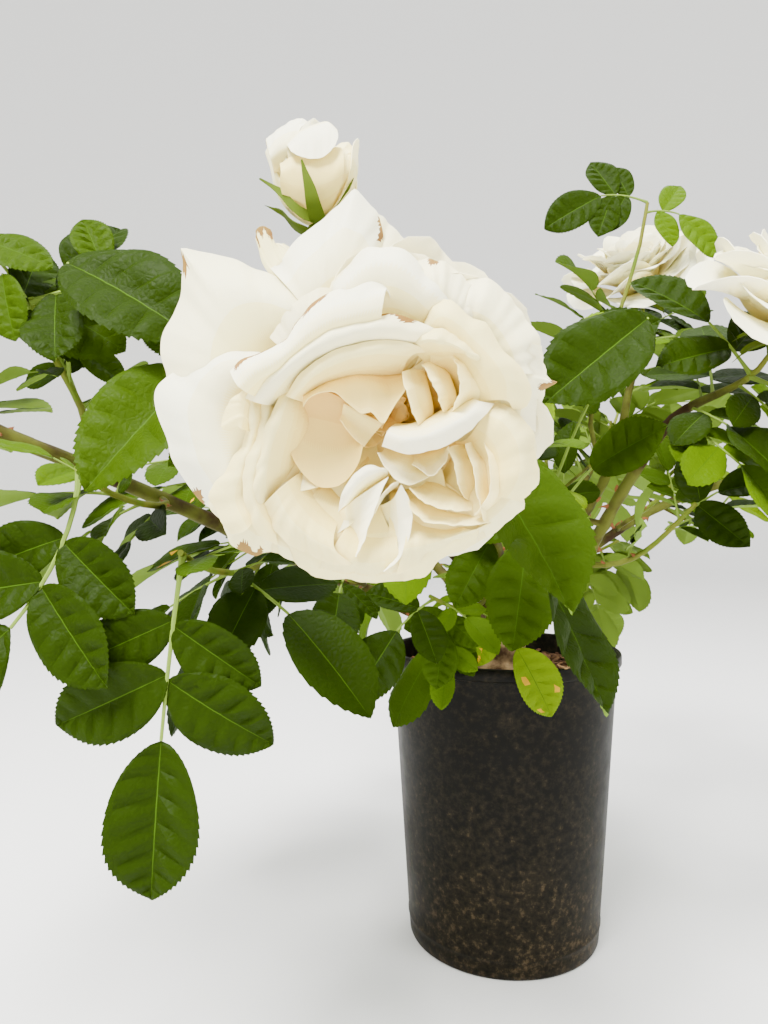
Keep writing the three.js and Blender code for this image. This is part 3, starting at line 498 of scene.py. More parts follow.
def try_finer(stem, attempt, random):
    point, way = stem.along(lerp(*FINER["share"], random()))
    scale = lerp(*FINER["scale"], (attempt + random()) / FINER["tries"])
    pairs = 1 if random() < FINER["one_pair"] else 2
    reach = scale * REACH[pairs] * FINER["reach"]
    aside = spoke(way, 2 * math.pi * random())
    out = unit(way * lerp(*FINER["along"], random()) + aside)
    end = point + out * reach - UP * reach * FINER["droop"] * random()
    facing = UP + level_out(point) * FINER["outward"] * random() + aside * FINER["over"]
    return Leaf(point, end, UP * reach * FINER["arch"], facing, pairs, scale)


def grow_finer(name, stems, leaves, space, number):
    random = seeded(seed_of("finer", number))
    finer = []
    for i in range(FINER["more"].get(name, FINER["leaves"]) * len(stems)):
        for attempt in range(FINER["tries"]):
            leaf = try_finer(stems[i % len(stems)], attempt, random)
            if space.free(leaf.feelers, name) and apart(leaf, leaves + finer, FINER["room"]):
                finer.append(leaf)
                break
    return finer


def grow_plant():
    canes = {name: grow_cane(cane) for name, cane in CANES.items()}
    draws, stems, leaves, finer = {}, {}, {}, {}
    for i, (name, plan) in enumerate(SHOOTS.items()):
        draws[name] = seeded(seed_of("growth", i))
        stem = grow_shoot(plan, canes[plan["cane"]])
        stems[name] = [stem, *grow_twigs(stem, plan["twigs"], draws[name])]
    space = Space(canes, stems)
    for i, name in enumerate(SHOOTS):
        leaves[name] = grow_leaves(name, stems[name], space, draws[name])
        leaves[name] += broad_leaves(name, stems[name][0])
        finer[name] = grow_finer(name, stems[name], leaves[name], space, i)
    return canes, stems, leaves, finer


# Meshes


def link(made):
    bpy.context.scene.collection.objects.link(made)
    return made


class Heap:
    """Gathers many shapes for one mesh: points in millimetres, triangles and their materials."""

    def __init__(self):
        self.points, self.faces, self.kinds = [], [], []
        self.count = 0

    def add(self, points, faces, kinds=0):
        self.points.append(points)
        self.faces.append(np.asarray(faces) + self.count)
        self.kinds.append(np.broadcast_to(kinds, len(faces)))
        self.count += len(points)

    def make(self, name, materials, sharp=50):
        points, faces = np.vstack(self.points) * MM, np.vstack(self.faces)
        mesh = bpy.data.meshes.new(name)
        mesh.vertices.add(len(points))
        mesh.vertices.foreach_set("co", points.astype(np.float32).ravel())
        mesh.loops.add(faces.size)
        mesh.loops.foreach_set("vertex_index", faces.astype(np.int32).ravel())
        mesh.polygons.add(len(faces))
        mesh.polygons.foreach_set("loop_start", np.arange(0, faces.size, 3, dtype=np.int32))
        mesh.polygons.foreach_set("loop_total", np.full(len(faces), 3, dtype=np.int32))
        mesh.polygons.foreach_set("material_index", np.concatenate(self.kinds).astype(np.int32))
        mesh.polygons.foreach_set("use_smooth", np.ones(len(faces), bool))
        for kind in materials:
            mesh.materials.append(kind)
        mesh.update(calc_edges=True)
        mesh.validate()
        mesh.set_sharp_from_angle(angle=math.radians(sharp))
        return link(bpy.data.objects.new(name, mesh))


def show(pieces, slot, *nodes):
    """Puts pieces on the one body, in place of the solids named. slot is not used."""
    for piece in pieces:
        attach(piece, "root")
        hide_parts(*nodes)


def grid_faces(rows, columns, wrap=False):
    """Triangles over a grid of points, row by row. With wrap, each row closes on itself."""
    spans = columns if wrap else columns - 1
    i, j = np.meshgrid(np.arange(rows - 1), np.arange(spans), indexing="ij")
    k = (j + 1) % columns
    a, b, c, d = i * columns + j, i * columns + k, (i + 1) * columns + k, (i + 1) * columns + j
    return np.concatenate([np.stack([a, b, c], -1).reshape(-1, 3), np.stack([a, c, d], -1).reshape(-1, 3)])


def closed_faces(rings, sides):
    """Triangles over rings of points and over the two points, before and after them, that close the ends."""
    loop = np.arange(sides)
    after = (loop + 1) % sides
    count, last = rings * sides, (rings - 1) * sides
    return np.vstack([grid_faces(rings, sides, wrap=True),
                      np.stack([np.full(sides, count), after, loop], 1),
                      np.stack([np.full(sides, count + 1), last + loop, last + after], 1)])


def tube(points, radii, sides, bump=None):
    """A closed tube along points. bump, if given, scales the radius at each ring and side."""
    points = np.asarray(points)
    ways = np.gradient(points, axis=0)
    ways /= np.linalg.norm(ways, axis=1)[:, None]
    side, _ = across(ways[0])
    rings = []
    angles = full_turn(sides)
    for i, (point, way) in enumerate(zip(points, ways)):
        side = unit(side - way * side.dot(way))
        rise = np.cross(way, side)
        radius = np.broadcast_to(radii[i] * (1 if bump is None else bump[i]), sides)[:, None]
        rings.append(point + radius * (np.cos(angles)[:, None] * side + np.sin(angles)[:, None] * rise))
    return np.vstack([*rings, points[0], points[-1]]), closed_faces(len(points), sides)


def turned(profile, sides, wobble=None):
    """A solid turned round the z axis from [radius, height] pairs that start and end on it."""
    profile = np.array(profile, float)
    rings = profile[1:-1]
    angles = full_turn(sides)
    radius = rings[:, :1] * (np.ones((len(rings), sides)) if wobble is None else wobble)
    points = np.stack([radius * np.cos(angles), radius * np.sin(angles), np.repeat(rings[:, 1:], sides, 1)], -1)
    ends = np.array([[0, 0, profile[0, 1]], [0, 0, profile[-1, 1]]])
    return np.vstack([points.reshape(-1, 3), ends]), closed_faces(len(rings), sides)


def aimed(points, base, axis):
    """Points of a solid round the z axis, moved to stand on base along an axis."""
    side, rise = across(axis)
    return base + points[:, :1] * side + points[:, 1:2] * rise + points[:, 2:] * axis


def signed_volume(points, faces):
    a, b, c = (points[faces[:, k]] - points[0] for k in range(3))
    return np.einsum("ij,ij->i", a, np.cross(b, c)).sum()


def outwards(points, faces):
    """The faces, turned over if they look inwards."""
    return faces[:, ::-1] if signed_volume(points, faces) < 0 else faces


def softened(values, times, own, axes=(0,)):
    """Noise whose values keep their own share and take the rest from their neighbours, some times over."""
    for _ in range(times):
        near = sum(np.roll(values, step, axis) for step in (1, -1) for axis in axes)
        values = own * values + (1 - own) / (2 * len(axes)) * near
    return values


def hermite(values, knots, shares):
    """A smooth curve through values at their knots, read at shares."""
    slopes = np.gradient(values, knots, axis=0)
    i = np.clip(np.searchsorted(knots, shares, side="right") - 1, 0, len(knots) - 2)
    apiece = (-1,) + (1,) * (values.ndim - 1)
    wide = (knots[i + 1] - knots[i]).reshape(apiece)
    t = (shares - knots[i]).reshape(apiece) / wide
    return ((1 + 2 * t) * (1 - t) ** 2 * values[i] + t * (1 - t) ** 2 * wide * slopes[i]
            + t * t * (3 - 2 * t) * values[i + 1] + t * t * (t - 1) * wide * slopes[i + 1])


def spline(points, count):
    """Points evenly along a smooth curve through the given ones."""
    points = np.asarray(points, float)
    step = np.sqrt(np.maximum(np.linalg.norm(np.diff(points[:, :2], axis=0), axis=1), 1e-6))
    knots = np.concatenate([[0], np.cumsum(step)])
    curve = hermite(points, knots, np.linspace(0, knots[-1], 8 * count))
    length = np.concatenate([[0], np.cumsum(np.linalg.norm(np.diff(curve[:, :2], axis=0), axis=1))])
    even = np.linspace(0, length[-1], count)
    return np.stack([np.interp(even, length, curve[:, k]) for k in range(curve.shape[1])], 1)


def loft(rows, columns, shares):
    """A grid of points over rows of control points, at shares of the way from the foot to the free edge."""
    evened = np.array([spline(row, columns) for row in rows])
    step = np.sqrt(np.linalg.norm(np.diff(evened, axis=0), axis=2).mean(1))
    knots = np.concatenate([[0], np.cumsum(step)])
    return hermite(evened, knots / knots[-1], shares)


# The net of a leaflet and its outline: widths and depths are shares of its length or half width

BLADE_THICK = 0.3
COLUMNS = np.array([0.014, 0.34, 0.64, 0.88])
ROWS = dict(first=0.055, last=0.945, half_span=0.485)
OUTLINE = dict(foot=0.62, tip=0.95, widest=0.3487)
VEIN = dict(forward=0.12, sunk=-1.0, raised=0.75, fade=0.5, rib=-0.004, rib_wide=0.1, field=0.8)
TOOTH = dict(deep=0.038, at=0.85, forward=1.1, valley_forward=1.02, wide_at=0.6)
WAVES = 9
# Each leaflet's least fold, curl and so on, and how much more it may have
BENDS = dict(fold=(0.04, 0.16), curl=(0.02, 0.06), droop=(0.04, 0.14), wave=(0.006, 0.022), phase=(0, TURN))
TWIST = 0.16
WIDTH = (0.86, 0.1)
UPPER, RIB, UNDER = range(3)


class BladeForm:
    """The net of a leaflet: a grid that follows the side veins, with a toothed margin, over and under."""

    def __init__(self, veins, rows_a_vein):
        self.rows = rows = rows_a_vein * veins
        self.rows_a_vein = rows_a_vein
        phase = math.pi * np.linspace(ROWS["first"], ROWS["last"], rows + 1)
        self.u = 0.5 - ROWS["half_span"] * np.cos(phase) / math.cos(math.pi * ROWS["first"])
        self.v = np.concatenate([-COLUMNS[::-1], COLUMNS])
        wide, edge_points = len(self.v), 2 * rows + 1
        grid = (rows + 1) * wide
        left, right = 2 * grid, 2 * grid + edge_points
        base = right + edge_points
        tip = base + 1
        inner = grid_faces(rows + 1, wide)[:, ::-1]
        edge = self.margin(rows, wide, left, right, base, tip)
        top = np.vstack([inner, np.array(edge)[:, ::-1]])
        bottom = np.where(top < grid, top + grid, top)[:, ::-1]
        self.faces = np.vstack([top, bottom])
        inner_kinds = np.tile(np.where(np.arange(wide - 1) == wide // 2 - 1, RIB, UPPER), 2 * rows)
        self.kinds = np.concatenate([inner_kinds, np.full(len(edge), UPPER), np.full(len(bottom), UNDER)])
        spots = np.zeros((tip + 1, 2))
        spots[:grid] = np.stack(np.meshgrid(self.u, self.v, indexing="ij"), -1).reshape(-1, 2)
        spots[grid:2 * grid] = spots[:grid]
        for start, hand in ((left, -1), (right, 1)):
            margin = np.stack([np.linspace(0, 1, edge_points), np.full(edge_points, hand)], 1)
            spots[start:start + edge_points] = margin
        spots[tip] = (1, 0)
        self.spots = spots[self.faces].mean(1)

    def margin(self, rows, wide, left, right, base, tip):
        """Triangles from the grid's sides and ends to the teeth, the base and the tip."""
        edge = []
        for k in range(rows):
            for column, margin, hand in ((wide - 1, right, 1), (0, left, -1)):
                a, b = k * wide + column, (k + 1) * wide + column
                valley, tooth, after = margin + 2 * k, margin + 2 * k + 1, margin + 2 * k + 2
                for face in ((a, valley, tooth), (a, tooth, b), (b, tooth, after)):
                    edge.append(face if hand < 0 else face[::-1])
        last = rows * wide
        foot = [left, *range(wide), right]
        head = [left + 2 * rows, *range(last, last + wide), right + 2 * rows]
        edge += [(base, foot[i], foot[i + 1]) for i in range(len(foot) - 1)]
        edge += [(tip, head[i + 1], head[i]) for i in range(len(head) - 1)]
        return edge

    def points(self, blade, shape):
        """The leaflet's points: shape holds its bends, twist, quilt and width, as shares of its length."""
        rows, u, v = self.rows, self.u, self.v
        width = shape["wide"] * u**OUTLINE["foot"] * (1 - u) ** OUTLINE["tip"] / OUTLINE["widest"]
        forward = VEIN["forward"] * np.sin(math.pi * u)
        on_vein = np.arange(rows + 1) % self.rows_a_vein == 0
        vein = np.where(on_vein, VEIN["sunk"], VEIN["raised"]) * np.sin(math.pi * u) ** VEIN["fade"]

        def place(share, half, spread, lift):
            rise = shape["fold"] * (np.abs(half) * spread) - shape["curl"] * np.abs(half) ** 3 * spread
            rise = rise - shape["droop"] * share**2
            rise = rise + shape["wave"] * np.sin(WAVES * share + shape["phase"] * np.sign(half)) * half**2
            bend = shape["twist"] * half * spread * share
            return blade.place(share, half * spread, rise + bend + lift)

        grid_u = u[:, None] + forward[:, None] * np.abs(v)[None]
        quilt = shape["quilt"] * vein[:, None] * np.sin(math.pi * np.abs(v)[None] ** VEIN["field"])
        half = np.broadcast_to(v, grid_u.shape)
        spread = np.broadcast_to(width[:, None], grid_u.shape)
        rib = np.where(np.abs(half) < VEIN["rib_wide"], VEIN["rib"], 0)
        thick = BLADE_THICK / blade.length
        top = place(grid_u, half, spread, quilt + rib)
        bottom = place(grid_u, half, spread, quilt - thick + 1.5 * rib)
        margins = []
        for hand in (-1, 1):
            share, wide, spreads = np.empty((3, 2 * rows + 1))
            share[::2], wide[::2], spreads[::2] = u + forward * TOOTH["valley_forward"], 1.0, width
            share[1::2] = lerp(u[:-1], u[1:], TOOTH["at"])
            share[1::2] += lerp(forward[:-1], forward[1:], TOOTH["at"]) * TOOTH["forward"]
            wide[1::2] = 1 + TOOTH["deep"]
            spreads[1::2] = lerp(width[:-1], width[1:], TOOTH["wide_at"])
            margins.append(place(share, hand * wide, spreads, np.full(len(share), -thick / 2)))
        ends = place(np.array([0.0, 1.0]), np.zeros(2), np.ones(2), np.array([-thick / 2, -thick / 2]))
        return np.vstack([top.reshape(-1, 3), bottom.reshape(-1, 3), *margins, ends])


def blade_shape(random, quilt):
    """A leaflet's own fold, droop, waves, twist and width."""
    shape = {name: least + more * random() for name, (least, more) in BENDS.items()}
    twist = TWIST * (random() - 0.5)
    return dict(shape, twist=twist, quilt=quilt, wide=WIDTH[0] + WIDTH[1] * random())


# Materials


def material(name, base, roughness, **sockets):
    made = bpy.data.materials.new(name)
    made.use_nodes = True
    shader = made.node_tree.nodes["Principled BSDF"]
    shader.inputs["Base Color"].default_value = (*base, 1)
    shader.inputs["Roughness"].default_value = roughness
    for socket, value in sockets.items():
        shader.inputs[socket.replace("_", " ")].default_value = value
    return made


def nodes_of(made):
    tree = made.node_tree
    return tree, tree.nodes["Principled BSDF"]


def node(tree, kind, inputs, **settings):
    """A shader node. Each input is set, or linked where it is another node's socket."""
    made = tree.nodes.new("ShaderNode" + kind)
    for name, value in settings.items():
        setattr(made, name, value)
    for socket, value in inputs.items():
        if isinstance(value, bpy.types.NodeSocket):
            tree.links.new(value, made.inputs[socket])
        else:
            made.inputs[socket].default_value = value
    return made


def noise(tree, scale, detail=3, roughness=0.55):
    place = node(tree, "TexCoord", {}).outputs["Object"]
    made = node(tree, "TexNoise", dict(Scale=scale, Detail=detail, Roughness=roughness, Vector=place))
    return made.outputs["Fac"]


def ramp(tree, factor, stops):
    made = node(tree, "ValToRGB", dict(Fac=factor))
    elements = made.color_ramp.elements
    while len(elements) < len(stops):
        elements.new(0.5)
    for element, (place, colour) in zip(elements, stops):
        element.position = place
        element.color = (*colour, 1)
    return made.outputs["Color"]


def levels(tree, value, low, high, **more):
    inputs = {"Value": value, "To Min": low, "To Max": high}
    return node(tree, "MapRange", {**inputs, **more}).outputs["Result"]


def rough_and_bump(made, scale, low, high, bump_scale, strength, distance):
    tree, shader = nodes_of(made)
    tree.links.new(levels(tree, noise(tree, scale), low, high), shader.inputs["Roughness"])
    bump = node(tree, "Bump", dict(Strength=strength, Distance=distance, Height=noise(tree, bump_scale, 4)))
    tree.links.new(bump.outputs["Normal"], shader.inputs["Normal"])


def linear(red, green, blue):
    """A colour as seen on a screen, 0 to 255, as the shader's own light values."""
    return tuple((c / 255 / 12.92) if c / 255 <= 0.04045 else ((c / 255 + 0.055) / 1.055) ** 2.4
                 for c in (red, green, blue))


def plant_material(name, base, roughness):
    """A matt surface with a fine grain and an uneven roughness."""
    made = material(name, base, roughness, Specular_IOR_Level=0.03)
    rough_and_bump(made, scale=240, low=roughness - 0.08, high=roughness + 0.12,
                   bump_scale=900, strength=0.25, distance=0.0004)
    return made


def netted(made, scale, strength, distance):
    """Small raised fields between sunken veins, over the grain that is there."""
    tree, shader = nodes_of(made)
    place = node(tree, "TexCoord", {}).outputs["Object"]
    cells = node(tree, "TexVoronoi", dict(Vector=place, Scale=scale), feature="DISTANCE_TO_EDGE")
    height, grain = cells.outputs["Distance"], shader.inputs["Normal"].links[0].from_socket
    bump = node(tree, "Bump", dict(Strength=strength, Distance=distance, Height=height, Normal=grain))
    tree.links.new(bump.outputs["Normal"], shader.inputs["Normal"])


def two_tone(made, scale, first, second, low=0.35, high=0.65):
    tree, shader = nodes_of(made)
    colours = ramp(tree, noise(tree, scale, 4), [(low, first), (high, second)])
    tree.links.new(colours, shader.inputs["Base Color"])


# Upper sides of the leaves, from the oldest and darkest to the palest, and the share of sprays of each. The
# deepest green and its large share are partly painted shade inside the crown
GREENS = {
    "deep": (linear(27, 42, 2), 5.5), "dark": (linear(42, 61, 2), 6), "full": (linear(62, 86, 2), 6),
    "fresh": (linear(86, 110, 3), 4), "young": (linear(110, 132, 6), 1.0),
    "yellowing": (linear(146, 146, 10), 0.06),
}
UNDERS = {"pale": linear(98, 124, 40), "pale_young": linear(134, 150, 42)}
FIRST_YOUNG = list(GREENS).index("young")

BLADE_MATERIALS = []
for tint, (colour, _) in GREENS.items():
    BLADE_MATERIALS.append(plant_material("leaf_" + tint, colour, 0.46))
    netted(BLADE_MATERIALS[-1], scale=340, strength=0.45, distance=0.0009)
RIBS = [plant_material("leaf_rib", linear(52, 77, 12), 0.5),
        plant_material("leaf_rib_young", linear(104, 128, 26), 0.5)]
BACKS = [plant_material("leaf_" + tint, colour, 0.6) for tint, colour in UNDERS.items()]
LEAF_MATERIALS = [*BLADE_MATERIALS, *RIBS, *BACKS, plant_material("leaf_blotch", linear(168, 128, 18), 0.55)]
FIRST_RIB = len(BLADE_MATERIALS)
FIRST_BACK = FIRST_RIB + len(RIBS)
BLOTCH = len(LEAF_MATERIALS) - 1

# The leaf whose leaflets have yellow blotches in the photo, and the share of leaflets that have them there
# and elsewhere. Sizes are shares of a leaflet's length, across it too
BLOTCHED = dict(shoot="front_low", leaf=2, here=0.8, elsewhere=0.006, count=3,
                along=(0.3, 0.9), across=(-0.8, 0.8), slender=2.2, least=0.08, more=0.14)


def blade_kinds(form, tint, random, blotched):
    """Which material each face has. A few leaflets have yellow blotches."""
    young = tint >= FIRST_YOUNG
    kinds = np.choose(form.kinds, [tint, FIRST_RIB + young, FIRST_BACK + young])
    if random() < (BLOTCHED["here"] if blotched else BLOTCHED["elsewhere"]):
        for _ in range(BLOTCHED["count"]):
            u, v = lerp(*BLOTCHED["along"], random()), lerp(*BLOTCHED["across"], random())
            far = np.hypot((form.spots[:, 0] - u) * BLOTCHED["slender"], form.spots[:, 1] - v)
            kinds = np.where(far < BLOTCHED["least"] + BLOTCHED["more"] * random(), BLOTCH, kinds)
    return kinds


def pick_tint(random, darkest):
    """A green by its share. Below 1, darkest leaves out the palest ones."""
    total = sum(share for _, share in GREENS.values())
    left = random() * total * darkest
    for i, (_, share) in enumerate(GREENS.values()):
        left -= share
        if left < 0:
            return i
    return 0


# The plant: shoots whose leaves keep to the darker greens, as painted shade for leaves in the crown's shadow,
# with how far up the row of greens they go, and the greens of leaves that the photograph shows clearly, by
# their shoot and their place in its list

SHADE_DARKER = dict(left_up=0.5, left_low=0.35, left_back=0.5, front_mid=0.6, front_low=0.8, left_tip=0.7,
              left_down=0.75, left_fore=0.75, right_back_leafy=0.8)
# Painted shade: the smaller leaves inside the crown keep to darker greens still
FINER_SHADE = 0.93
TINTED = {("bud_side", 0): "dark", ("front_tip", 0): "dark", ("front_mid", 0): "dark",
          ("right_front_side", 3): "deep"}
QUILT, FINER_QUILT = 0.0235, 0.013
NEAR_FORM, FAR_FORM = BladeForm(8, 3), BladeForm(6, 2)

# Rinds of shoots and stalks, in the order of their materials
GREEN_RIND, STALK_RIND, OLD_RIND, HALF_RIND = range(4)
# How far along a shoot its rind is still like the cane's, and then half green: end shoots and side shoots
RIND_STEPS = {True: (0.5, 0.75), False: (0.12, 0.4)}
STEM = dict(rings=17, sides=8, sunk=1.2)
LEAF_STALK = dict(sides=6, radius=0.95, least=0.7, taper=[1.7, 1.2, 1, 0.95, 0.9, 0.85, 0.8, 0.75, 0.7])


def add_stalk(heap, leaf):
    taper = LEAF_STALK["taper"]
    points = np.array([leaf.at(share) for share in np.linspace(0, leaf.stalk_share, len(taper))])
    radii = LEAF_STALK["radius"] * max(leaf.scale, LEAF_STALK["least"]) * np.array(taper)
    heap.add(*tube(points, radii, LEAF_STALK["sides"]), STALK_RIND)


def add_leaf(heap, stalks, leaf, form, random, quilt, darkest, blotched=False, green=None):
    add_stalk(stalks, leaf)
    tint = pick_tint(random, darkest)
    if green:
        tint = list(GREENS).index(green)
    for blade in leaf.leaflets:
        shape = blade_shape(random, quilt)
        heap.add(form.points(blade, shape), form.faces, blade_kinds(form, tint, random, blotched))


def add_stem(heap, stem, terminal):
    """A shoot's tube, its foot sunk a little into what it grows from, greener towards its tip."""
    rings, sides = STEM["rings"], STEM["sides"]
    points = stem.finely(rings)
    points[0] -= stem.directions[0] * STEM["sunk"]
    points, faces = tube(points, [stem.radius(share) for share in np.linspace(0, 1, rings)], sides)
    place = (np.minimum(faces.min(1), sides * (rings - 1)) // sides) / (rings - 1)
    old, half = RIND_STEPS[terminal]
    heap.add(points, faces, np.where(place < old, OLD_RIND, np.where(place < half, HALF_RIND, GREEN_RIND)))


def dress_shoots():
    """The foliage in four pieces, with every second shoot's leaves in each pair, and all shoots and stalks."""
    full, small, stalks = (Heap(), Heap()), (Heap(), Heap()), Heap()
    for number, name in enumerate(SHOOTS):
        random = seeded(seed_of("foliage", number))
        # Painted shade: leaves of the shoots in the crown's shadow keep to the darker greens
        darkest = SHADE_DARKER.get(name, 1.0)
        for stem in stems[name]:
            add_stem(stalks, stem, SHOOTS[name]["at"] == 1)
        for k, leaf in enumerate(leaves[name]):
            blotched = name == BLOTCHED["shoot"] and k == BLOTCHED["leaf"]
            add_leaf(full[number % 2], stalks, leaf, NEAR_FORM, random, QUILT, darkest, blotched,
                     TINTED.get((name, k)))
        for leaf in finer[name]:
            # The smaller leaves' darker greens are painted shade
            add_leaf(small[number % 2], stalks, leaf, FAR_FORM, random, FINER_QUILT, FINER_SHADE * darkest)
    names = ("leaves_full_a", "leaves_full_b", "leaves_small_a", "leaves_small_b")
    foliage = [heap.make(name, LEAF_MATERIALS, sharp=38) for heap, name in zip((*full, *small), names)]
    return [*foliage, stalks.make("shoots_and_stalks", STEM_MATERIALS)]


# Green and brown blends that a rind shares with the canes
BARK_BROWN, BARK_GREEN = linear(46, 34, 20), linear(78, 82, 30)
STEM_MATERIALS = [
    plant_material("shoot_rind", linear(96, 116, 44), 0.5),
    plant_material("stalk_rind", linear(104, 126, 50), 0.5),
    plant_material("rind_old", linear(64, 60, 26), 0.5), plant_material("rind_half", linear(78, 84, 32), 0.5),
]
two_tone(STEM_MATERIALS[GREEN_RIND], 60, linear(82, 102, 30), linear(104, 104, 40))
two_tone(STEM_MATERIALS[OLD_RIND], 38, BARK_BROWN, BARK_GREEN, 0.4, 0.6)
two_tone(STEM_MATERIALS[HALF_RIND], 50, linear(66, 64, 26), linear(92, 98, 36), 0.4, 0.6)

canes, stems, leaves, finer = grow_plant()
show(dress_shoots(), "leaf", *("leaves_" + name for name in SHOOTS))

# Petals: their thickness, the times of it at a foot and what a free edge loses of that, and their tones

PETAL_THICK = dict(most=0.42, foot=1.25, thinner=0.75)
TONES = 12
# From 0, warm amber, to 1, white: the deep end is partly the cream of the petals' feet and partly painted shade
# and painted glow deep in a head
PETAL_STOPS = [
    (0.0, linear(198, 144, 68)), (0.2, linear(226, 183, 92)), (0.4, linear(240, 208, 114)),
    (0.6, linear(248, 223, 132)), (0.8, linear(253, 237, 158)), (1.0, linear(255, 250, 206)),
]
SPOILT = linear(112, 76, 26)


def between(stops, t):
    for (low, first), (high, second) in zip(stops, stops[1:]):
        if t <= high:
            return tuple(lerp(a, b, (t - low) / (high - low)) for a, b in zip(first, second))
    return stops[-1][1]


def petal_material(name, colour):
    made = material(name, colour, 0.55, Subsurface_Weight=0.35, Subsurface_Scale=0.005, Specular_IOR_Level=0.3,
                    Subsurface_Radius=(1, 0.8, 0.5))
    rough_and_bump(made, scale=180, low=0.48, high=0.66, bump_scale=300, strength=0.25, distance=0.0008)
    return made


PETAL_MATERIALS = [petal_material(f"petal_{i}", between(PETAL_STOPS, i / (TONES - 1))) for i in range(TONES)]
PETAL_MATERIALS.append(petal_material("petal_spoilt", SPOILT))


def grid_normals(grid):
    along, over = np.gradient(grid, axis=0), np.gradient(grid, axis=1)
    normal = np.cross(over, along)
    size = np.linalg.norm(normal, axis=2, keepdims=True)
    return normal / np.maximum(size, 1e-9)


def petal_kinds(tones, spoilt, faces):
    """The nearest tone for each face, or the spoilt one where most of the face is."""
    flat = np.concatenate([tones.ravel(), tones.ravel()])
    kinds = np.clip((flat[faces].mean(1) * (TONES - 1)).round(), 0, TONES - 1).astype(int)
    if spoilt is None:
        return kinds
    worn = np.concatenate([spoilt.ravel(), spoilt.ravel()])[faces].mean(1)
    return np.where(worn > 0.5, TONES, kinds)


def add_sheet(heap, grid, tones, spoilt=None, kind=None):
    """A thin closed petal over a grid. tones go from deep and warm, 0, to white, 1, unless it is all one kind."""
    rows, columns = grid.shape[:2]
    normal = grid_normals(grid)
    share = np.linspace(0, 1, rows)[:, None, None]
    half = 0.5 * PETAL_THICK["most"] * (PETAL_THICK["foot"] - PETAL_THICK["thinner"] * share**3)
    points = np.vstack([(grid + normal * half).reshape(-1, 3), (grid - normal * half).reshape(-1, 3)])
    top = grid_faces(rows, columns)
    count = rows * columns
    rim = np.array([*range(columns), *range(2 * columns - 1, count, columns),
                    *range(count - 2, count - columns - 1, -1), *range(count - 2 * columns, 0, -columns)])
    after = np.roll(rim, -1)
    sides = np.vstack([np.stack([rim, rim + count, after + count], 1), np.stack([rim, after + count, after], 1)])
    faces = np.vstack([top, top[:, ::-1] + count, sides])
    kinds = petal_kinds(tones, spoilt, faces) if kind is None else kind
    heap.add(points, outwards(points, faces), kinds)


class Head:
    """A flower head: its seat, the way it looks, the pixel its petals spring from, and its random numbers."""

    def __init__(self, name, seed, heart=None, face=None):
        bloom = BLOOMS[name]
        self.seat, self.face, self.radius = vec(bloom["base"]), unit(vec(face or bloom["face"])), bloom["radius"]
        self.side, self.rise = across(self.face)
        self.draw = seeded(seed)
        self.heart = heart

    def seen(self, spot, height):
        """The point at a height along the head's axis that the photograph shows at this pixel."""
        ray = pixel_ray(*spot)
        return EYE + ray * ((height + (self.seat - EYE).dot(self.face)) / ray.dot(self.face))

    def turned_way(self, turn):
        """A direction across the axis: 0 is level, 90 degrees upwards."""
        return self.side * math.cos(turn) + self.rise * math.sin(turn)


# The large bloom, petal by petal: rows of pixels in the photograph from inside to the free edge, each
# after its height along the bloom's axis. tone is how white a petal is at its foot and its edge,
# ruffle and curl are in millimetres, and worn is the share of the free edge that is brown.
HEART = (381, 441)


def petal(*rows, tone=(0.3, 0.72), ruffle=0.5, curl=0.0, worn=None, sink=0.0):
    return dict(rows=rows, tone=tone, ruffle=ruffle, curl=curl, worn=worn, sink=sink)


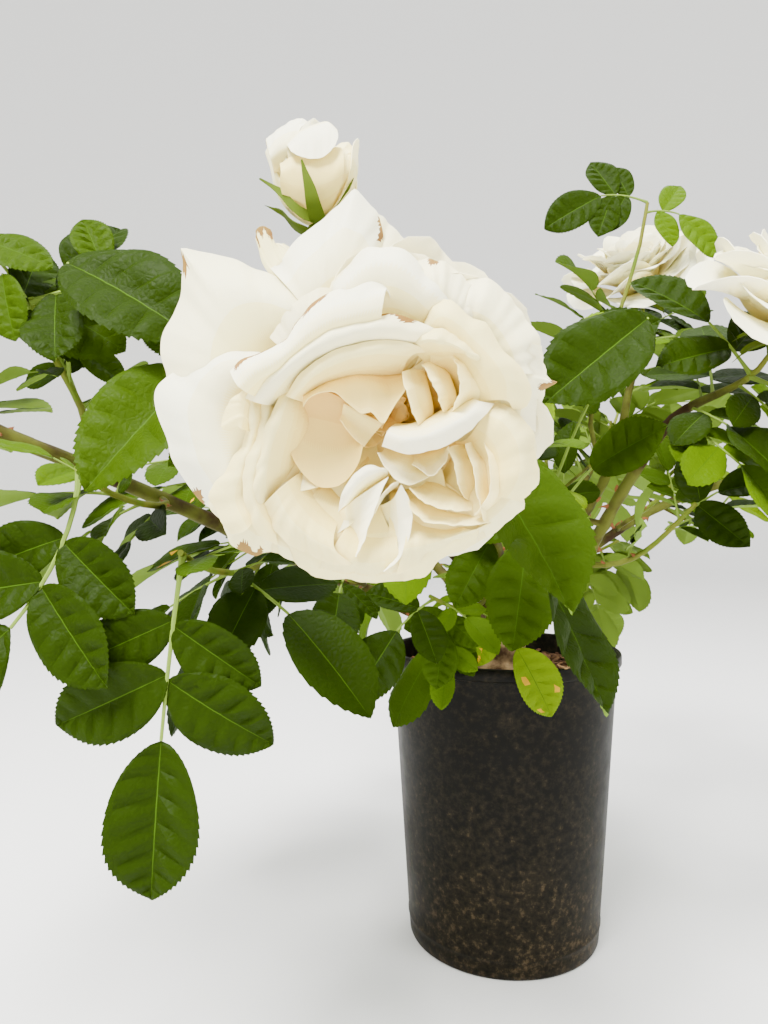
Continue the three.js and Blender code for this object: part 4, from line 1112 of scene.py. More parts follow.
OUTER_PETALS = {
    "tip_curled": petal(
        (10, [(285, 292), (290, 284), (296, 278), (302, 272)]),
        (7, [(264, 266), (268, 256), (276, 252), (292, 250)]),
        (6, [(258, 246), (256, 230), (262, 226), (269, 229), (272, 242), (284, 244)]),
        tone=(0.7, 0.85), ruffle=0.3, worn=(0.14, 0.6, 0.07)),
    "top_behind": petal(
        (14, [(352, 330), (365, 322), (380, 318), (395, 320)]),
        (11, [(345, 275), (365, 262), (385, 262), (400, 275)]),
        (6, [(346, 232), (362, 214), (381, 216), (393, 227), (404, 240), (412, 256)]), tone=(0.65, 0.9)),
    "top_guard": petal(
        (15, [(330, 352), (338, 342), (346, 338), (356, 338)]),
        (17, [(298, 300), (315, 278), (333, 262), (352, 258), (370, 275)]),
        (10, [(270, 268), (281, 259), (296, 240), (312, 226), (333, 209), (349, 193), (355, 188), (361, 194),
              (370, 204), (378, 212), (383, 226), (383, 242), (380, 262)]),
        tone=(0.62, 0.96), ruffle=0.4, curl=1.5, worn=(0.76, 0.87, 0.06)),
    "upper_left_guard": petal(
        (16, [(252, 402), (262, 380), (278, 362), (300, 342)]),
        (20, [(206, 378), (212, 335), (232, 305), (262, 300), (296, 312)]),
        (12, [(165, 378), (160, 342), (172, 313), (182, 271), (181, 254), (180, 248), (189, 249), (215, 254),
              (255, 266), (286, 282), (308, 300)]),
        tone=(0.6, 0.92), ruffle=0.7, curl=2.0, worn=(0.41, 0.48, 0.055)),
    "behind_brow": petal(
        (16, [(330, 392), (338, 380), (348, 372), (360, 368)]),
        (22, [(285, 352), (296, 332), (312, 314), (332, 304)]),
        (20, [(270, 338), (282, 318), (296, 302), (310, 292), (326, 288), (340, 292)]), tone=(0.5, 0.95)),
    "left_guard": petal(
        (18, [(290, 395), (268, 405), (262, 430), (266, 455), (272, 482)]),
        (24, [(258, 368), (226, 372), (205, 398), (204, 430), (212, 462), (232, 496)]),
        (15, [(268, 345), (236, 336), (221, 339), (200, 351), (179, 365), (163, 378), (154, 390), (155, 412),
              (163, 432), (170, 457), (178, 475), (189, 491), (201, 503), (211, 509)]),
        tone=(0.66, 0.97), ruffle=0.5, curl=2.5, worn=(0.89, 0.98, 0.05)),
    # The lower petals' lower tones are partly their creamier colour and partly painted shade under the bloom
    "low_left": petal(
        (18, [(288, 448), (298, 468), (314, 488), (326, 500)]),
        (22, [(232, 474), (242, 500), (262, 522), (290, 540)]),
        (17, [(205, 490), (211, 510), (221, 521), (228, 536), (236, 548), (255, 556), (270, 551), (291, 559),
              (303, 563)]), tone=(0.45, 0.78), ruffle=0.6, worn=(0.48, 0.68, 0.055)),
    "bottom": petal(
        (18, [(318, 490), (338, 502), (358, 506), (380, 506)]),
        (23, [(282, 530), (308, 552), (342, 562), (378, 563), (402, 560)]),
        (17, [(268, 550), (291, 559), (303, 568), (317, 577), (346, 580), (385, 582), (406, 580)]),
        tone=(0.4, 0.76)),
    "low_right": petal(
        (18, [(390, 502), (405, 499), (425, 492), (442, 480)]),
        (23, [(385, 560), (410, 560), (435, 548), (465, 532), (490, 512)]),
        (17, [(378, 581), (405, 580), (422, 577), (430, 570), (438, 562), (460, 551), (479, 541), (500, 526),
              (512, 517)]), tone=(0.4, 0.76), ruffle=0.6),
    "right_low": petal(
        (18, [(440, 490), (455, 478), (465, 462), (470, 448)]),
        (24, [(478, 525), (500, 508), (516, 485), (520, 460), (518, 438)]),
        (18, [(476, 543), (500, 527), (524, 508), (525, 498), (532, 490), (538, 480), (538, 462), (536, 445),
              (533, 430)]), tone=(0.45, 0.8), ruffle=0.6),
    "right_tip": petal(
        (18, [(480, 378), (483, 400), (482, 420), (478, 442)]),
        (24, [(522, 345), (524, 372), (524, 395), (520, 425)]),
        (19, [(541, 346), (543, 366), (546, 375), (552, 380), (557, 382), (552, 385), (544, 389), (538, 396),
              (536, 410), (535, 432)]),
        tone=(0.6, 0.9), ruffle=0.2, worn=(0.34, 0.58, 0.09)),
    "right_back": petal(
        (18, [(440, 372), (455, 362), (470, 366), (482, 380)]),
        (25, [(456, 312), (472, 302), (490, 308), (508, 328), (520, 352), (524, 374)]),
        (18, [(452, 292), (466, 279), (485, 280), (500, 287), (514, 302), (526, 317), (534, 331), (541, 347),
              (544, 362), (543, 376)]), tone=(0.6, 0.92), ruffle=0.7, worn=(0.0, 0.09, 0.055)),
    "top_right_back": petal(
        (18, [(420, 352), (430, 346), (442, 346), (452, 352)]),
        (25, [(416, 300), (430, 285), (448, 290), (462, 306), (474, 320)]),
        (20, [(408, 284), (414, 264), (424, 259), (438, 262), (453, 266), (464, 278), (476, 294), (488, 312)]),
        tone=(0.6, 0.92), ruffle=0.7, worn=(0.29, 0.38, 0.055)),
}
BODY_PETALS = {
    "top_white": petal(
        (24, [(358, 334), (372, 326), (390, 322), (408, 326), (425, 336)]),
        (30, [(336, 308), (348, 288), (365, 272), (388, 268), (408, 276), (428, 294), (446, 310)]),
        (24, [(326, 300), (336, 279), (350, 262), (362, 249), (378, 247), (398, 248), (414, 256), (427, 270),
              (446, 284), (460, 296)]), tone=(0.5, 0.98), curl=1.0, sink=4),
    "right_smooth": petal(
        (26, [(430, 368), (446, 360), (460, 370), (472, 388), (478, 402)]),
        (33, [(428, 330), (440, 318), (456, 324), (473, 340), (490, 358), (504, 380), (506, 400)]),
        (28, [(422, 320), (425, 308), (433, 300), (451, 301), (461, 309), (472, 317), (487, 323), (494, 333),
              (500, 345), (516, 363), (529, 379), (533, 394), (527, 407), (514, 411)]),
        curl=1.0, ruffle=0.4, sink=4),
    "right_lower": petal(
        (24, [(466, 440), (476, 448), (482, 462), (482, 480), (474, 494)]),
        (31, [(484, 414), (498, 420), (512, 436), (519, 458), (516, 480), (506, 498)]),
        (26, [(487, 403), (500, 402), (514, 410), (526, 422), (534, 435), (537, 455), (538, 478), (530, 493),
              (521, 504)]), curl=1.0, sink=4),
    "left_long": petal(
        (22, [(264, 398), (270, 430), (268, 458), (264, 480), (264, 505)]),
        (27, [(250, 396), (254, 425), (248, 450), (238, 474), (232, 500), (246, 530)]),
        (24, [(240, 392), (247, 418), (243, 440), (234, 456), (224, 474), (212, 488), (208, 498), (216, 512),
              (232, 534)]), ruffle=0.7),
    "left_lobe": petal(
        (24, [(256, 404), (256, 418), (252, 432)]),
        (28, [(246, 392), (240, 408), (240, 428)]),
        (27, [(243, 390), (231, 400), (223, 416), (222, 427), (228, 431), (240, 424)]), ruffle=0.3),
    "left_fold": petal(
        (22, [(285, 404), (282, 432), (276, 458), (272, 484), (282, 512)]),
        (29, [(266, 402), (266, 428), (259, 452), (252, 482), (258, 516), (276, 534)]),
        (27, [(258, 400), (258, 428), (250, 450), (243, 480), (246, 508), (258, 532), (278, 546)]),
        ruffle=0.6, sink=5),
    "left_inner": petal(
        (21, [(303, 396), (300, 418), (294, 442), (288, 468), (290, 492)]),
        (30, [(288, 392), (280, 412), (272, 434), (265, 460), (262, 486), (268, 502)]),
        (29, [(282, 390), (273, 410), (266, 428), (259, 455), (255, 476), (254, 492), (260, 506), (272, 514)]),
        ruffle=0.4, sink=6),
    "low_left_inner": petal(
        (20, [(298, 474), (308, 492), (322, 508), (338, 520)]),
        (28, [(278, 490), (290, 514), (310, 534), (334, 548)]),
        (25, [(262, 506), (276, 532), (300, 550), (328, 562), (352, 565)]), ruffle=0.6),
    "low_middle": petal(
        (20, [(350, 520), (364, 526), (380, 528), (396, 526)]),
        (25, [(330, 552), (350, 560), (375, 562), (400, 556)]),
        (21, [(316, 566), (340, 573), (366, 575), (390, 574), (412, 568)]), ruffle=0.5),
    "low_right_inner": petal(
        (22, [(408, 520), (424, 526), (444, 528), (462, 526)]),
        (27, [(404, 546), (424, 544), (446, 538), (470, 530)]),
        (23, [(396, 574), (416, 566), (432, 552), (452, 542), (476, 532), (492, 520)]), ruffle=0.6),
    "brow_rolled": petal(
        (24, [(268, 402), (282, 390), (300, 372), (322, 356), (350, 346), (378, 344)]),
        (35, [(240, 388), (254, 374), (274, 364), (290, 352), (308, 336), (330, 323), (356, 316), (382, 310)]),
        (33, [(234, 380), (246, 366), (264, 355), (284, 346), (298, 330), (314, 314), (334, 303), (360, 296),
              (386, 290)]),
        (28, [(230, 371), (240, 362), (255, 355), (273, 347), (288, 337), (294, 326), (302, 315), (317, 301),
              (333, 291), (354, 284), (370, 278), (380, 275), (387, 284), (390, 298)]),
        ruffle=0.3, tone=(0.4, 1), worn=(0.03, 0.62, 0.075)),
    "brow_second": petal(
        (22, [(284, 408), (296, 392), (316, 374), (345, 362), (380, 358), (410, 362)]),
        (35, [(258, 402), (274, 380), (294, 362), (318, 346), (346, 335), (380, 328), (412, 334), (438, 344)]),
        (33, [(245, 398), (262, 378), (287, 357), (308, 340), (333, 328), (362, 319), (388, 313), (412, 319),
              (438, 331), (457, 345)]), ruffle=0.4, tone=(0.4, 0.95), worn=(0.56, 0.8, 0.06), sink=6),
    "brow_inner": petal(
        (18, [(308, 404), (320, 390), (345, 380), (375, 376), (400, 380)]),
        (33, [(292, 398), (306, 380), (328, 364), (356, 354), (386, 350), (414, 354)]),
        (32, [(286, 396), (300, 374), (324, 356), (352, 345), (384, 340), (414, 344), (432, 352)]),
        ruffle=0.3, sink=5),
}
HEART_PETALS = {
    # The hood's and the scoop's low tones are painted shade under the brow, over the heart's own warmer cream
    "hood": petal(
        (14, [(312, 388), (335, 378), (365, 372), (398, 374)]),
        (23, [(304, 396), (330, 384), (362, 382), (388, 390), (406, 382)]),
        (27, [(303, 407), (310, 397), (333, 392), (346, 401), (362, 414), (371, 412), (383, 424), (393, 407),
              (405, 391)]), tone=(0.12, 0.5), ruffle=0.2),
    "scoop": petal(
        (18, [(310, 396), (326, 392), (344, 400), (364, 416)]),
        (16.5, [(302, 414), (320, 416), (342, 422), (363, 430)]),
        (18, [(296, 438), (314, 450), (338, 453), (361, 441)]),
        (22, [(291, 454), (297, 466), (309, 480), (320, 487), (338, 486), (351, 475), (359, 462), (363, 446)]),
        tone=(0.12, 0.4), ruffle=0.1),
    "scoop_right": petal(
        (20, [(344, 404), (362, 414), (383, 424)]),
        (18, [(342, 414), (356, 426), (372, 436)]),
        (21, [(340, 420), (352, 436), (364, 447)]), tone=(0.35, 0.7), ruffle=0.1),
    "bar": petal(
        (22, [(396, 424), (412, 424), (430, 418), (448, 408), (464, 396)]),
        (35, [(388, 432), (404, 438), (424, 436), (444, 428), (462, 418), (480, 402)]),
        (32, [(383, 446), (396, 451), (411, 454), (427, 452), (441, 447), (456, 440), (472, 429), (485, 415),
              (494, 404)]), tone=(0.4, 1), ruffle=0.4, sink=7),
    "arc_first": petal(
        (22, [(424, 372), (428, 386), (432, 402), (434, 418)]),
        (27, [(410, 370), (414, 386), (419, 404), (427, 422)]),
        (32, [(402, 372), (405, 388), (410, 402), (414, 416), (421, 428)]), ruffle=0.2, sink=5),
    "arc_second": petal(
        (24, [(446, 368), (452, 382), (456, 396), (456, 410)]),
        (28, [(432, 362), (440, 378), (447, 394), (451, 410)]),
        (33, [(422, 364), (431, 380), (438, 396), (443, 412)]), ruffle=0.3, sink=5),
    "arc_third": petal(
        (25, [(474, 366), (480, 380), (482, 394), (476, 406)]),
        (29, [(462, 356), (468, 372), (470, 388), (464, 404)]),
        (34, [(452, 356), (458, 370), (460, 386), (457, 400), (451, 412)]), ruffle=0.3, sink=5),
    "arc_over": petal(
        (26, [(424, 362), (440, 356), (456, 356), (470, 362)]),
        (35, [(408, 346), (426, 340), (446, 342), (466, 352), (480, 366)]),
        (32, [(402, 336), (424, 328), (448, 332), (468, 344), (484, 360), (492, 376)]), ruffle=0.5, sink=8),
    "cup_left": petal(
        (15, [(386, 446), (398, 452), (412, 456), (424, 458)]),
        (20, [(382, 452), (396, 464), (412, 470), (426, 468)]),
        (26, [(377, 453), (385, 466), (396, 480), (405, 484), (414, 484), (423, 480), (431, 475)]),
        tone=(0.3, 0.95), ruffle=0.2, sink=4),
    "cup_right": petal(
        (17, [(412, 454), (424, 456), (436, 452), (443, 446)]),
        (22, [(414, 460), (426, 466), (438, 460), (446, 449)]),
        (28, [(412, 464), (422, 471), (430, 476), (439, 470), (446, 461), (449, 446)]),
        tone=(0.3, 0.95), ruffle=0.2, sink=4),
    "wedge_left": petal(
        (16, [(356, 498), (366, 488), (376, 482), (386, 476)]),
        (28, [(342, 508), (350, 490), (362, 476), (375, 470), (387, 470)]),
        (27, [(338, 512), (343, 491), (356, 473), (369, 465), (385, 469)]), tone=(0.35, 1), ruffle=0.2, sink=4),
    "wedge_middle": petal(
        (20, [(340, 512), (344, 528), (350, 545), (353, 557)]),
        (22, [(354, 500), (356, 520), (357, 540), (355, 556)]),
        (28, [(388, 477), (380, 496), (372, 517), (364, 540), (356, 557)]), tone=(0.5, 1), ruffle=0.2),
    "wedge_right": petal(
        (17, [(378, 505), (376, 525), (378, 548), (381, 568)]),
        (21, [(392, 500), (392, 522), (392, 546), (386, 569)]),
        (27, [(401, 485), (409, 499), (412, 518), (408, 542), (396, 562), (384, 572)]), tone=(0.5, 1), ruffle=0.2),
    "wedge_small": petal(
        (16, [(380, 500), (388, 492), (396, 486)]),
        (25, [(375, 514), (380, 498), (390, 486), (400, 480)]), tone=(0.35, 0.95), ruffle=0.1),
    "right_arc_first": petal(
        (20, [(470, 444), (474, 460), (476, 480), (480, 498)]),
        (26, [(454, 446), (462, 462), (464, 480), (470, 500)]),
        (31, [(447, 449), (454, 462), (457, 480), (464, 498)]), ruffle=0.2, sink=5),
    "right_arc_second": petal(
        (21, [(488, 440), (492, 464), (492, 490), (488, 512)]),
        (27, [(472, 442), (480, 466), (483, 492), (488, 518)]),
        (32, [(465, 444), (473, 468), (477, 494), (484, 521)]), ruffle=0.2, sink=5),
    "right_arc_third": petal(
        (22, [(506, 436), (510, 462), (508, 488), (496, 510)]),
        (28, [(492, 440), (498, 466), (496, 494), (484, 514)]),
        (32, [(484, 442), (490, 468), (488, 496), (474, 515)]), ruffle=0.2, sink=5),
    "low_arc_first": petal(
        (20, [(416, 492), (426, 502), (442, 508), (462, 508)]),
        (26, [(410, 500), (420, 512), (440, 518), (466, 518), (486, 514)]),
        (30, [(406, 496), (411, 510), (426, 521), (446, 525), (466, 525), (488, 524)]), ruffle=0.4, sink=5),
    "low_arc_second": petal(
        (20, [(428, 480), (440, 486), (454, 490), (466, 490)]),
        (26, [(416, 488), (426, 498), (444, 502), (460, 503), (472, 500)]),
        (31, [(410, 487), (419, 499), (437, 507), (454, 511), (472, 510)]), ruffle=0.3, sink=5),
}


# How a petal of the photograph is laid out: its net, the rows added below its first one, as shares of the
# way to the heart and of that row's height, and where along it its ruffle, its curl and its paling start and
# how long they take to be full. It is also paler high in the head and darker deep in it: painted shade in
# the head's hollows
PETAL_NET = dict(rows=23, columns=30, worn_columns=54, bunching=1.1, worn_bunching=1.5)
PETAL_FOOT = ((0.8, 0.25), (0.22, 0.62))
PETAL_EDGE = dict(ruffle=(0.55, 0.45), curl=(0.8, 0.2), waver=0.6)
PALING_AND_DEPTH_SHADE = dict(along=(0.3, 0.6), high=(6, 20), deepest=0.6)
RUFFLES = ((2.3, 1), (4.1, 1.3), (6.7, 2), (9.5, 3))
FRAYING = dict(steady=0.7, ragged=0.3, often=40, least=-1.6, most=1.4)


def petal_rows(head, plan):
    """A petal's rows of points, from the heart to its free edge. Their ends sink behind the next petals."""
    first_height, first = plan["rows"][0]
    rows = []
    for share, drop in PETAL_FOOT:
        spots = [(lerp(x, head.heart[0], share), lerp(y, head.heart[1], share)) for x, y in first]
        rows.append((first_height * drop, spots))
    points = []
    for height, spots in [*rows, *plan["rows"]]:
        ends = np.abs(np.linspace(-1, 1, len(spots))) ** 4 * plan["sink"]
        points.append([head.seen(spot, height - end) for spot, end in zip(spots, ends)])
    return points


def place_petal(heap, head, plan, deepest=PALING_AND_DEPTH_SHADE["deepest"], kind=None):
    """One petal from its rows. deepest is how much of its tone is left deep in the head, the painted shade there.
    """
    axes = np.stack([head.side, head.rise, head.face], 1)
    local = [(np.array(row) - head.seat) @ axes for row in petal_rows(head, plan)]
    worn = plan["worn"]
    columns = PETAL_NET["worn_columns" if worn else "columns"]
    bunching = PETAL_NET["worn_bunching" if worn else "bunching"]
    share = 1 - (1 - np.linspace(0, 1, PETAL_NET["rows"])) ** bunching
    grid = loft(local, columns, share)
    share = share[:, None]
    edge = rising(share, *PETAL_EDGE["ruffle"])
    around = np.linspace(0, 1, columns)[None]
    normal = grid_normals(grid)
    phases = [TURN * head.draw() for _ in RUFFLES]
    wave = sum(np.sin(2 * math.pi * around * f + p) / w for (f, w), p in zip(RUFFLES, phases))
    grid = grid + normal * (plan["ruffle"] * wave * edge)[..., None] * PETAL_EDGE["waver"]
    grid[..., 2] -= plan["curl"] * edge**2 * rising(share, *PETAL_EDGE["curl"])
    # Painted shade: faces low along the head's axis, in its hollows, take darker tones
    height = rising(grid[..., 2], *PALING_AND_DEPTH_SHADE["high"])
    tones = lerp(*plan["tone"], rising(share, *PALING_AND_DEPTH_SHADE["along"])) * lerp(deepest, 1, height)
    spoilt = None
    if worn:
        first_worn, last_worn, depth = worn
        patch = (around > first_worn) & (around < last_worn)
        fray = np.clip(np.sin(FRAYING["often"] * around + phases[0]) + wave, FRAYING["least"], FRAYING["most"])
        reach = 1 - depth * (FRAYING["steady"] + FRAYING["ragged"] * fray)
        spoilt = (patch & (share > reach)).astype(float)
    add_sheet(heap, grid @ axes.T + head.seat, tones, spoilt, kind)


# Petals by rule: length, width and cup are shares of the head's radius, opened the angles from its axis at
# foot and edge, and roll what the edge rolls back further
WIDEST, FOOT_NARROW, BLUNT = 0.66, 1.015, 1.12
RULE_NET, SEPAL_NET = (13, 13), (11, 9)
RULE = dict(roll=(0.72, 0.28), ruffle=(0.5, 0.5), notch=(0.85, 0.15), paling=(0.15, 0.6), notch_wide=0.22,
            twist=math.radians(13))
RULE_RUFFLES = ((3.1, 1), (5.7, 1.5), (9.3, 2.5))


def rule_petal(heap, head, turn, length, width, opened, cup, tone, roll=14.0, ruffle=0.8, notch=0.04, lift=3.0,
               widest=WIDEST, kind=None):
    rows, columns = RULE_NET if kind is None else SEPAL_NET
    length, width, cup = (x * head.radius for x in (length, width, cup))
    out = head.turned_way(turn)
    level = np.cross(head.face, out)
    share = np.linspace(0, 1, rows)
    narrow = (widest - share) / (widest * FOOT_NARROW)
    away = np.where(share < widest, narrow, (share - widest) / ((1 - widest) * BLUNT))
    half = np.sqrt(1 - away**2)
    angle = np.radians(lerp(*opened, share) + roll * rising(share, *RULE["roll"]))
    sin, cos = np.sin(angle)[:, None], np.cos(angle)[:, None]
    heading, inner = sin * out + cos * head.face, -cos * out + sin * head.face
    middle = head.seat + head.face * lift + np.cumsum(heading, axis=0) * length / (rows - 1)
    normal = inner * math.cos(RULE["twist"]) - level * math.sin(RULE["twist"])
    round_ = level * math.cos(RULE["twist"]) + inner * math.sin(RULE["twist"])
    u = np.linspace(-1, 1, columns)
    bend = (width * 0.5 * half / cup)[:, None] * u
    grid = (middle[:, None] + round_[:, None] * (cup * np.sin(bend))[..., None]
            + normal[:, None] * (cup * (1 - np.cos(bend)))[..., None])
    edge = rising(share, *RULE["ruffle"])[:, None]
    phases = [TURN * head.draw() for _ in RULE_RUFFLES]
    wave = sum(np.sin(f * u + p) / w for (f, w), p in zip(RULE_RUFFLES, phases))[None]
    grid = grid + normal[:, None] * (ruffle * edge * wave)[..., None]
    dip = notch * length * np.exp(-((u / RULE["notch_wide"]) ** 2))[None] * rising(share, *RULE["notch"])[:, None]
    grid = grid - heading[:, None] * dip[..., None]
    tones = lerp(*tone, rising(share, *RULE["paling"]))
    add_sheet(heap, grid, np.broadcast_to(tones[:, None], grid.shape[:2]), kind=kind)


def ring(heap, head, count, first, *form, spread=6, **more):
    for k in range(count):
        turn = math.radians(360 * k / count + first + spread * (head.draw() - 0.5) * 2)
        rule_petal(heap, head, turn, *form, **more)


# Rings of petals from the outside in: how many, where the first one is, then length, width and so on


def full_head(name, seed):
    head, heap = Head(name, seed), Heap()
    ring(heap, head, 5, 17, 1.1, 1.5, (58, 98), 1.1, (0.75, 1), roll=8, ruffle=0.4, notch=0.02)
    ring(heap, head, 4, 52, 1.04, 1.45, (48, 76), 0.95, (0.7, 1), roll=12, ruffle=0.4, notch=0.02)
    ring(heap, head, 5, 30, 0.97, 1.2, (38, 58), 0.72, (0.6, 1), roll=18, ruffle=0.5)
    ring(heap, head, 5, 5, 0.9, 1.0, (29, 43), 0.55, (0.5, 0.98), roll=22, ruffle=0.5)
    ring(heap, head, 5, 40, 0.82, 0.8, (21, 32), 0.42, (0.45, 0.96), roll=22)
    ring(heap, head, 6, 12, 0.73, 0.58, (14, 23), 0.34, (0.4, 0.94), roll=20)
    ring(heap, head, 6, 33, 0.62, 0.42, (9, 15), 0.26, (0.35, 0.9), roll=16, spread=20)
    ring(heap, head, 5, 3, 0.54, 0.34, (3, 6), 0.2, (0.3, 0.85), roll=10, spread=30)
    return heap.make(name + "_petals", PETAL_MATERIALS)


def bud_head(name, seed):
    head, heap = Head(name, seed), Heap()
    ring(heap, head, 3, 20, 1.85, 2.1, (70, -24), 1.0, (0.5, 1), roll=26, ruffle=0.5)
    ring(heap, head, 3, 80, 1.95, 2.0, (66, -30), 0.86, (0.5, 1), roll=24, ruffle=0.5)
    ring(heap, head, 3, 45, 1.95, 1.7, (58, -30), 0.66, (0.45, 0.98), roll=18, ruffle=0.4)
    ring(heap, head, 4, 5, 1.95, 1.3, (46, -26), 0.46, (0.4, 0.95), roll=12, ruffle=0.3)
    ring(heap, head, 4, 60, 1.9, 0.9, (32, -20), 0.3, (0.35, 0.92), roll=6, ruffle=0.3)
    ring(heap, head, 3, 20, 1.85, 0.6, (16, -10), 0.2, (0.3, 0.9), roll=2, ruffle=0.2)
    return heap.make(name + "_petals", PETAL_MATERIALS)


# The half-open bud in front, petal by petal: heights are millimetres towards the camera from its seat
BUD_HEART = (317, 226)
TO_CAMERA = (0, -1, 0)
BUD_PETALS = {
    "bowl": petal(
        (9, [(288, 206), (298, 216), (314, 219), (330, 210)]),
        (18, [(280, 184), (294, 190), (312, 192), (330, 186), (342, 178)]),
        (20, [(281, 172), (290, 168), (304, 166), (320, 166), (336, 164), (344, 160)]),
        (17, [(280, 164), (292, 157), (304, 154), (318, 154), (332, 148), (342, 148)]),
        tone=(0.36, 0.6), ruffle=0.3),
    "front_rolled": petal(
        (11, [(290, 166), (304, 162), (318, 161), (333, 158)]),
        (14, [(287, 146), (299, 133), (314, 126), (327, 123), (336, 130)]),
        (20, [(289, 148), (300, 139), (315, 134), (329, 131), (338, 137)]),
        (22.5, [(291, 152), (300, 156), (314, 159), (326, 155), (335, 146)]), tone=(0.8, 1), ruffle=0.2),
    "top_left": petal(
        (6, [(276, 178), (286, 170), (298, 162)]),
        (13, [(271, 160), (281, 152), (296, 148)]),
        (12, [(268, 148), (277, 137), (289, 130), (301, 128)]),
        (5, [(266, 139), (279, 129), (291, 121), (302, 119), (312, 124)]), tone=(0.7, 1), ruffle=0.2),
    "left_side": petal(
        (4, [(284, 202), (279, 190), (281, 176)]),
        (8, [(281, 182), (273, 166), (272, 150)]),
        (2, [(277, 166), (268, 150), (266, 138)]), tone=(0.6, 0.85), ruffle=0.2, worn=(0.5, 0.9, 0.03)),
    "right_curl": petal(
        (5, [(326, 212), (338, 202), (343, 190)]),
        (12, [(331, 184), (343, 178), (350, 174)]),
        (10, [(332, 162), (343, 155), (352, 158)]),
        (4, [(333, 150), (341, 143), (350, 144), (355, 152), (356, 166)]), tone=(0.55, 0.85), ruffle=0.3),
}
BUD_SEPALS = {
    "left": petal(
        (7, [(322, 222), (314, 212)]), (15, [(305, 220), (303, 208)]), (16, [(291, 210), (293, 200)]),
        (14, [(280, 197), (284, 190)]), (10, [(271, 188), (274, 185)]), (8, [(259, 179), (260, 178)]), ruffle=0.1),
    "front": petal(
        (12, [(310, 221), (326, 220)]), (20, [(306, 205), (321, 204)]), (22.5, [(304, 188), (315, 186)]),
        (23, [(302, 172), (307, 170)]), (22.5, [(301, 160), (302, 159)]), ruffle=0.1),
    "right": petal(
        (9, [(320, 223), (332, 214)]), (13, [(334, 210), (341, 200)]), (12, [(344, 194), (350, 188)]),
        (9, [(352, 180), (354, 178)]), ruffle=0.1),
}


def front_bud():
    head, heap = Head("bud_front", SEEDS["front_bud"], BUD_HEART, TO_CAMERA), Heap()
    for plan in BUD_PETALS.values():
        place_petal(heap, head, plan, 1)
    upright = Head("bud_front", SEEDS["front_bud_rings"])
    for turn, length, opened in ((110, 1.9, (72, -20)), (180, 2.0, (66, -22)), (250, 1.95, (72, -20))):
        rule_petal(heap, upright, math.radians(turn), length, 2.1, opened, 1.0, (0.6, 0.95), roll=30, ruffle=0.5)
    ring(heap, upright, 3, 45, 1.95, 1.6, (50, -26), 0.66, (0.6, 0.98), roll=18, ruffle=0.4)
    ring(heap, upright, 4, 5, 1.95, 1.2, (40, -24), 0.46, (0.5, 0.95), roll=12, ruffle=0.3)
    ring(heap, upright, 4, 60, 1.9, 0.9, (28, -18), 0.3, (0.4, 0.92), roll=6, ruffle=0.3)
    ring(heap, upright, 3, 20, 1.85, 0.6, (14, -10), 0.2, (0.35, 0.9), roll=2, ruffle=0.2)
    return heap.make("bud_front_petals", PETAL_MATERIALS)


def fill_outer(heap, head):
    """Petals behind the photograph's, all round, so that the bloom is whole from the sides and from behind."""
    for turn in (-160, -112, -66, -20, 26, 66):
        rule_petal(heap, head, math.radians(turn), 1.0, 0.95, (76, 100), 1.1, (0.7, 0.95), roll=4)
    for turn in (-140, -90, -44, 4, 46, 88, 190):
        rule_petal(heap, head, math.radians(turn), 0.92, 0.85, (66, 88), 0.9, (0.6, 0.9), roll=4)


def fill_body(heap, head):
    ring(heap, head, 7, 20, 0.78, 0.7, (68, 80), 1.1, (0.4, 0.75), roll=2)
    ring(heap, head, 7, 45, 0.5, 0.56, (70, 76), 1.0, (0.3, 0.5), roll=2)


# The innermost rings in the deepest amber tones: what shows in the heart's gaps is painted shade and painted glow,
# over the cream of the petals' feet
def fill_heart(heap, head):
    ring(heap, head, 7, 0, 0.3, 0.34, (58, 66), 0.5, (0.15, 0.35), roll=2)
    ring(heap, head, 6, 25, 0.22, 0.24, (28, 38), 0.3, (0.1, 0.25), roll=2)


def large_head():
    head = Head("bloom_main", SEEDS["large_head"], HEART)
    made = []
    for group, plans, deepest, fill in (
            ("outer", OUTER_PETALS, 1, fill_outer), ("body", BODY_PETALS, PALING_AND_DEPTH_SHADE["deepest"], fill_body),
            ("heart", HEART_PETALS, PALING_AND_DEPTH_SHADE["deepest"], fill_heart)):
        heap = Heap()
        for plan in plans.values():
            place_petal(heap, head, plan, deepest)
        fill(heap, head)
        made.append(heap.make("bloom_main_" + group, PETAL_MATERIALS))
    return made


show(large_head(), "petal", "bloom_main")
for number, name in enumerate(("bloom_right", "bloom_back_right", "bloom_back_left")):
    show([full_head(name, seed_of("full_heads", number))], "petal", name)
show([front_bud()], "petal", "bud_front")
show([bud_head("bud_left", SEEDS["left_bud"])], "petal", "bud_left")

# Hips and sepals: the sepals of a bloom are bent back, those of a bud stand up, with one of them ajar

GREEN_PARTS = [
    plant_material("sepal_rind", linear(70, 86, 20), 0.55), plant_material("hip_rind", linear(64, 80, 18), 0.45),
]
SEPAL, HIP_RIND = range(2)
FIRST_SEPAL = 40
HIP_PROFILE = [(0, 0), (0.36, 0), (0.5, 0.16), (0.86, 0.4), (1, 0.66), (0.94, 0.88), (0.84, 1), (0, 1)]
HIP_OVERLAP = 0.6
BLOOM_SEPAL = dict(length=0.42, width=0.15, opened=(92, 128), cup=0.4, roll=20)
POINTED = dict(tone=(0, 0), ruffle=0.3, notch=-0.3, lift=-1.5, widest=0.3)
BUD_SEPAL = dict(length=1.05, width=0.42, opened=(88, 4), cup=1.12, roll=50)
AJAR, AJAR_OPENED = 2, (84, 66)
# Of the front bud's sepals by rule, only those that the photograph doesn't show
BEHIND_FRONT_BUD = (2, 3)


